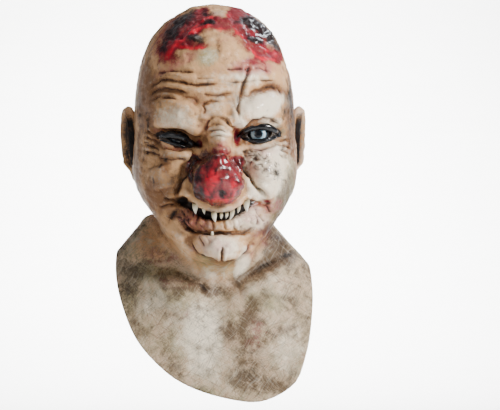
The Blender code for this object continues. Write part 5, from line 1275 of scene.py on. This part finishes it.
def ear(side):
    """One ear, with its painted layers."""
    bm = bmesh.new()
    bmesh.ops.create_uvsphere(bm, u_segments=96, v_segments=64, radius=1)
    level = WALL - EAR_DOWN * HEAD_HEIGHT
    head = formed.reshape(-1, 3)
    near = head[(np.abs(head[:, 2] - level) < 0.04 * HEAD_HEIGHT) & (head[:, 0] * side > 0)]
    wall_x, angle = float(np.abs(near[:, 0]).max()), math.radians(EAR_ANGLE)
    deeps = []
    for v in bm.verts:
        (out, back, up), deep = ear_point(Vector((v.co.z, v.co.x, v.co.y)))
        along = back + EAR_WIDTH * EAR_ROOT
        x = wall_x - EAR_SINK + along * math.sin(angle) + out * math.cos(angle) + up * EAR_FLARE
        y = along * math.cos(angle) - out * math.sin(angle) + up * EAR_LEAN - EAR_FRONT
        v.co = Vector((side * x, y, level + up))
        deeps.append(deep)
        hit, normal, _, _ = skin_surface.find_nearest(v.co)
        into = (hit - v.co).dot(normal)
        if into > WALL / 2:
            v.co += normal * (into - WALL / 2)
    bmesh.ops.recalc_face_normals(bm, faces=bm.faces)
    mesh = mesh_from(bm, "ear")
    spots = np.array([v.co for v in mesh.vertices])
    bend = 0.5 * grain(spots, 6 * MM, 31) + 0.3 * grain(spots, 2.5 * MM, 32)
    normals = np.array([v.normal for v in mesh.vertices])
    mesh.vertices.foreach_set("co", (spots + normals * bend[:, None] * MM).reshape(-1))
    deep = np.array(deeps)
    # Inside the rim the bowl is dark with brown wash and painted shade, and the pale coat is painted highlight, far
    # less on the shaded side.
    layers = {"umber": 0.45 + 0.6 * deep + 0.25 * grain(spots, 9 * MM, 33),
              "bone": (0.35 if side > 0 else 0.10) * (1 - deep),             # less on the shaded side
              "soot": (0.78 + 0.35 * grain(spots, 5 * MM, 37)) * deep,
              "crevice": deep, "mauve": 0.2 * (1 - deep), "moss": 0.2, "wet": 0.2}
    for name in LAYERS:
        keep_layer(mesh, name, clipped(layers.get(name, 0.0) + 0 * deep))
    obj = added("ear_right" if side > 0 else "ear_left", mesh)
    mesh.materials.append(latex)
    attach(obj, "root")
    print(obj.name, "triangles:", 2 * len(mesh.polygons))
    return obj


for side in (-1, 1):
    ear(side)

# %% [markdown]
# ## Eyes
# The eyes are cast in clear resin over a painted back. The open one has a pale, milky ring and a small dark
# pupil; the squinting one is nearly black. Each is the front of a ball with a slightly raised cornea, and its
# colour follows the distance from the middle of the gaze.


# %% Eye pieces
CORNEA_RISE, CORNEA_ANGLE = 0.7 * MM, 0.62           # how far it bulges, and its edge's angle from the gaze


def eye_piece(name, pale):
    """The front of a ball, flat behind, with a raised cornea."""
    centre = EYE_CENTRES[name]
    bm = bmesh.new()
    bmesh.ops.create_uvsphere(bm, u_segments=64, v_segments=48, radius=EYE_RADIUS)
    for v in bm.verts:
        v.co = Vector((v.co.x, -v.co.z, v.co.y))
    back_at = (0, EYE_THICKNESS - EYE_RADIUS, 0)
    sliced = bmesh.ops.bisect_plane(bm, geom=bm.verts[:] + bm.edges[:] + bm.faces[:],
                                    plane_co=back_at, plane_no=(0, 1, 0), clear_outer=True)
    bmesh.ops.edgeloop_fill(bm, edges=[g for g in sliced["geom_cut"] if isinstance(g, bmesh.types.BMEdge)])
    bmesh.ops.recalc_face_normals(bm, faces=bm.faces)
    gaze = np.array([-0.10 if pale else 0.15, -1.0, 0.02])
    gaze /= np.linalg.norm(gaze)
    off_gaze = []                                    # the angle from the gaze, in radians
    for v in bm.verts:
        off = math.acos(max(-1.0, min(1.0, v.co.normalized().dot(Vector(gaze)))))
        off_gaze.append(off)
        v.co += v.co.normalized() * CORNEA_RISE * max(0.0, 1 - (off / CORNEA_ANGLE) ** 2)
        v.co += Vector(centre)
    mesh = mesh_from(bm, name + "_cast")
    keep_layer(mesh, "off_gaze", off_gaze)
    obj = added(name + "_cast", mesh)
    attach(obj, "root")
    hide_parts(name)
    return obj


def colour_ramp(tree, factor, stops):
    """The colour that belongs to a factor between the stops, each of them a place and a hex colour."""
    ramp = node(tree, "ShaderNodeValToRGB", {"Fac": factor})
    elements = ramp.color_ramp.elements
    while len(elements) < len(stops):
        elements.new(0.5)
    for element, (place, code) in zip(elements, stops):
        element.position, element.color = place, srgb(code)
    return ramp.outputs[0]


def eye_material(name, stops):
    """Clear cast resin over a painted back, in rings round the gaze: glossy, glassy and wet."""
    made, tree, shader = finish(name)
    off = layer_of(tree, "off_gaze")
    where = node(tree, "ShaderNodeTexCoord").outputs["Object"]
    ring_at = maths(tree, "MULTIPLY_ADD", noise_of(tree, 1.2, 4.0, where), 0.10, off)
    tree.links.new(colour_ramp(tree, ring_at, stops), shader.inputs["Base Color"])
    tree.links.new(ranged(tree, off, 0.5, 0.8, 0.07, 0.45), shader.inputs["Roughness"])
    shader.inputs["IOR"].default_value = 1.45
    return made


# Stops are angles from the gaze in radians, plus 0.05 for the fibres' mean.
open_eye = eye_piece("eye_open", True)
open_eye.data.materials.append(eye_material("clear_resin_over_pale_paint", (
    (0.00, "#04070b"), (0.30, "#070c12"), (0.36, "#5b7482"), (0.42, "#9dbccb"), (0.56, "#c3d8e2"),
    (0.62, "#6f8c9b"), (0.68, "#1a242c"), (0.76, "#06090c"))))
shut_eye = eye_piece("eye_squinting", False)
shut_eye.data.materials.append(eye_material("clear_resin_over_black_paint", (
    (0.00, "#07080a"), (0.30, "#101318"), (0.45, "#26303a"), (0.70, "#14171c"), (1.00, "#0b0c0f"))))

# %% [markdown]
# ## Rolled lid edges
# The lids end in thick, blue-black, wet rolls, thickest in their middle. A roll is the same small section carried
# along a line on the skin, so it is made with Geometry Nodes: each lid's edge is an open curve with a thickness at
# every point, a circle is swept along it, and noise makes it uneven. The result becomes a plain mesh.


# %% Node trees for pieces that are grown from a curve or from points
def node_group(name):
    """A Geometry Nodes tree with its named inputs, their identifiers, and the sockets that give them."""
    tree = bpy.data.node_groups.new(name, "GeometryNodeTree")
    tree.interface.new_socket("Geometry", in_out="OUTPUT", socket_type="NodeSocketGeometry")
    identifiers = {}
    for label, kind in (("Geometry", "Geometry"), ("Radius", "Float"), ("Unevenness", "Float"), ("Finish", "Material")):
        socket = tree.interface.new_socket(label, in_out="INPUT", socket_type="NodeSocket" + kind)
        identifiers[label] = socket.identifier
    return tree, identifiers, node(tree, "NodeGroupInput").outputs


def ended(tree, given, geometry, size_mm):
    """The end that all trees share: made real, pushed in and out by noise, shaded smooth and given its finish."""
    real = node(tree, "GeometryNodeRealizeInstances", {0: geometry}).outputs[0]
    amount = maths(tree, "MULTIPLY", maths(tree, "ADD", noise_of(tree, size_mm, 2.0), -0.5), given["Unevenness"])
    normal = node(tree, "GeometryNodeInputNormal").outputs[0]
    push = node(tree, "ShaderNodeVectorMath", {0: normal, "Scale": amount}, operation="SCALE").outputs[0]
    moved = node(tree, "GeometryNodeSetPosition", {"Geometry": real, "Offset": push}).outputs[0]
    smooth = node(tree, "GeometryNodeSetShadeSmooth", {"Geometry": moved}).outputs[0]
    coated = node(tree, "GeometryNodeSetMaterial", {"Geometry": smooth, "Material": given["Finish"]}).outputs[0]
    node(tree, "NodeGroupOutput", {0: coated})


def made_real(obj, tree, inputs, name):
    """Runs a node tree on an object and keeps the result as a plain mesh object."""
    modifier = obj.modifiers.new("Nodes", "NODES")
    modifier.node_group = tree
    for identifier, value in inputs.items():
        modifier[identifier] = value
    mesh = bpy.data.meshes.new_from_object(obj.evaluated_get(bpy.context.evaluated_depsgraph_get()))
    bpy.data.objects.remove(obj)
    mesh.name = name
    return added(name, mesh)


# %% The roll's node tree
def rolled_edge_nodes():
    """Sweeps a circle along the curve that comes in, as thick as the curve's points say."""
    tree, identifiers, given = node_group("rolled_edge")
    line = node(tree, "GeometryNodeResampleCurve", {"Curve": given["Geometry"], "Count": 90}).outputs[0]
    section = node(tree, "GeometryNodeCurvePrimitiveCircle", {"Resolution": 14, "Radius": given["Radius"]}).outputs[0]
    thickness = node(tree, "GeometryNodeInputRadius").outputs[0]
    swept = node(tree, "GeometryNodeCurveToMesh", {"Curve": line, "Profile Curve": section, "Scale": thickness,
                                                   "Fill Caps": True}).outputs[0]
    ended(tree, given, swept, 4.5)
    return tree, identifiers


# %% Blue-black lid rolls
# Gloss-painted latex: nearly black with a cold sheen, wet enough to catch small white lights.
lid_black, tree, shader = finish("wet_black_latex")
where = node(tree, "ShaderNodeTexCoord").outputs["Object"]
cloud = noise_of(tree, 3.0, 5.0, where)
dark = mixed(tree, ranged(tree, cloud, 0.42, 0.68), srgb("#060709"), srgb("#1c2026"))
tree.links.new(dark, shader.inputs["Base Color"])
tree.links.new(ranged(tree, cloud, 0.3, 0.7, 0.10, 0.24), shader.inputs["Roughness"])
bump = node(tree, "ShaderNodeBump", {"Height": cloud, "Strength": 0.3, "Distance": 0.4 * MM})
tree.links.new(bump.outputs[0], shader.inputs["Normal"])

# %% Sweep the four lid rolls
# Each roll is an open line in the photograph's frame, with the roll's half thickness, in mm, at each point. It is
# laid on the skin as the camera sees it, and sunk in a little.
LID_ROLLS = {
    "lid_squinting_upper": ((157, 138.5, 0.8), (162, 136, 2.4), (169, 134.8, 3.8), (178, 135.6, 4.6), (186, 139, 4.4),
                            (191, 143, 3.4), (194.5, 148, 1.2)),
    "lid_squinting_lower": ((160, 140, 0.7), (167, 142, 1.4), (176, 144.5, 1.8), (184, 147, 1.8),
                            (190, 148.6, 1.3), (194, 149.5, 0.7)),
    "lid_open_upper": ((238, 137, 0.8), (243, 132.4, 2.8), (250, 128.2, 3.6), (258, 126.6, 3.9), (266, 126.8, 3.9),
                       (273, 129.6, 3.3), (278, 133, 2.2), (281, 137, 0.8)),
    "lid_open_lower": ((240, 137.6, 0.8), (246, 139.8, 2.0), (254, 141.2, 2.5), (262, 141.0, 2.7), (269, 139.2, 2.5),
                       (275, 137, 2.0), (280, 136, 0.8)),
}
FRONT_X, FRONT_Y = picture_of(formed)
SEEN = (np.cos(U)[None, :] > 0.1) & (HEAD_PART > 0.5)


def on_skin(x, y, lift):
    """The skin's frontmost point that shows at a place in the photograph's frame, lifted by some mm."""
    away = np.where(SEEN, np.hypot(FRONT_X - x, FRONT_Y - y), 99.0)
    near = np.argsort(away, axis=None)[:6]
    spots = formed.reshape(-1, 3)[near]
    weight = 1 / (away.reshape(-1)[near] + 0.05)
    spot = (spots * weight[:, None]).sum(0) / weight.sum()
    return spot + BACK * lift * MM


edge_tree, edge_inputs = rolled_edge_nodes()
for name, line in LID_ROLLS.items():
    fine = through(np.array(line, float), np.linspace(0, len(line) - 1, 41))
    curve = bpy.data.curves.new(name, "CURVE")
    curve.dimensions = "3D"
    spline = curve.splines.new("POLY")
    spline.points.add(len(fine) - 1)
    for p, (x, y, thick) in zip(spline.points, fine):
        p.co = (*on_skin(x, y, -0.35 * thick), 1)
        p.radius = thick
    roll = made_real(added(name, curve), edge_tree, {
        edge_inputs["Radius"]: 1.0 * MM, edge_inputs["Unevenness"]: 0.7 * MM, edge_inputs["Finish"]: lid_black}, name)
    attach(roll, "root")
    print(roll.name, "faces:", len(roll.data.polygons))

# %% [markdown]
# ## Fangs
# The teeth are cast acrylic, ivory at the tip and stained brown at the gum. They are all one shape at other
# sizes, so a single curved fang is instanced at each root with Geometry Nodes. Each root and tip is read from
# the CAD fang that the piece replaces.


# %% Read each fang's root, tip and thickness from its CAD node
def fang_lines():
    """Root, tip and radius of each CAD fang."""
    lines = {}
    for name, obj in sorted(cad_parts.items()):
        if "fang" not in name:
            continue
        spots = np.unique(np.round([tuple(v.co) for v in obj.data.vertices], 6), axis=0)
        lowest = np.argmax(spots[:, 2]) if name.startswith("lower") else np.argmin(spots[:, 2])
        tip = spots[lowest]
        reach = np.linalg.norm(spots - tip, axis=1)
        rim = spots[np.argsort(reach)[-8:]]
        root = rim.mean(0)
        lines[name] = (root, tip, float(np.linalg.norm(rim - root, axis=1).mean()))
    return lines


FANG_LINES = fang_lines()
print("fangs:", {n: round(float(np.linalg.norm(t - r)) / MM, 1) for n, (r, t, _) in FANG_LINES.items()})


# %% One fang, a metre long and one metre in radius, to be scaled down
def fang_pattern():
    """A bowed, blunt-tipped tooth along +Z with a number from 0 at its root to 1 at its tip."""
    bm = bmesh.new()
    sides, rings_up, rings = 20, 18, []
    for i in range(rings_up):
        t = i / rings_up
        radius = (1 - t**1.9) ** 0.85 * (0.93 + 0.12 * math.sin(math.pi * min(1, t * 1.4)))
        bow = 0.30 * math.sin(math.pi * t)
        around = [2 * math.pi * k / sides for k in range(sides)]
        rings.append([bm.verts.new((radius * math.cos(a) * (1 + 0.06 * math.cos(3 * a)),     # slightly three-sided
                                    radius * math.sin(a) + bow, t)) for a in around])
    tip = bm.verts.new((0, 0, 1))
    bm.faces.new(rings[0][::-1])
    for k in range(sides):
        n = (k + 1) % sides
        for low, high in zip(rings[:-1], rings[1:]):
            bm.faces.new((low[k], low[n], high[n], high[k]))
        bm.faces.new((rings[-1][k], rings[-1][n], tip))
    mesh = mesh_from(bm, "fang_pattern")
    keep_layer(mesh, "along", [v.co.z for v in mesh.vertices])
    return mesh


def fang_row_nodes(pattern):
    """Instances the pattern on each point, aimed along the point's axis and scaled to its sizes."""
    tree, identifiers, given = node_group("fang_row")
    tooth = node(tree, "GeometryNodeObjectInfo", {"Object": pattern}).outputs["Geometry"]
    axis, size = (node(tree, "GeometryNodeInputNamedAttribute", {"Name": name}, data_type="FLOAT_VECTOR").outputs[0]
                  for name in ("axis", "size"))
    aim = node(tree, "FunctionNodeAlignRotationToVector", {"Vector": axis}, axis="Z").outputs[0]
    placed = node(tree, "GeometryNodeInstanceOnPoints", {"Points": given["Geometry"], "Instance": tooth,
                                                         "Rotation": aim, "Scale": size}).outputs[0]
    ended(tree, given, placed, 3.0)
    return tree, identifiers


# %% Stained ivory acrylic, and the two rows
# Cast acrylic: hard and glossy with a slight depth, cream at the tip and tea-brown where it leaves the gum.
ivory, tree, shader = finish("cast_ivory_acrylic")
where = node(tree, "ShaderNodeTexCoord").outputs["Object"]
streak = noise_of(tree, 2.0, 4.0, where)
stain = maths(tree, "MULTIPLY_ADD", streak, 0.35, layer_of(tree, "along"))
tree.links.new(colour_ramp(tree, stain, ((0.10, "#6f5a40"), (0.32, "#b9ab89"), (0.60, "#e4dcc4"), (1.0, "#f4f0e2"))),
               shader.inputs["Base Color"])
shader.inputs["Roughness"].default_value = 0.18
shader.inputs["IOR"].default_value = 1.49
bump = node(tree, "ShaderNodeBump", {"Height": streak, "Strength": 0.3, "Distance": 0.2 * MM})
tree.links.new(bump.outputs[0], shader.inputs["Normal"])

pattern = added("fang_pattern", fang_pattern())
row_tree, row_inputs = fang_row_nodes(pattern)
for piece_name, names in (("upper_fangs", [n for n in FANG_LINES if n.startswith("fang")]),
                          ("lower_fangs", [n for n in FANG_LINES if n.startswith("lower")])):
    rooted = bpy.data.meshes.new("roots")
    rooted.from_pydata([FANG_LINES[n][0].tolist() for n in names], [], [])
    axes = np.array([FANG_LINES[n][1] - FANG_LINES[n][0] for n in names])
    sizes = np.array([[FANG_LINES[n][2]] * 2 + [np.linalg.norm(a)] for n, a in zip(names, axes)])
    keep_layer(rooted, "axis", axes)
    keep_layer(rooted, "size", sizes)
    row = made_real(added("roots", rooted), row_tree,
                    {row_inputs["Finish"]: ivory, row_inputs["Unevenness"]: 0.6 * MM}, piece_name)
    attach(row, "root")
    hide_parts(*names)
    print(row.name, "faces:", len(row.data.polygons))
bpy.data.objects.remove(pattern)
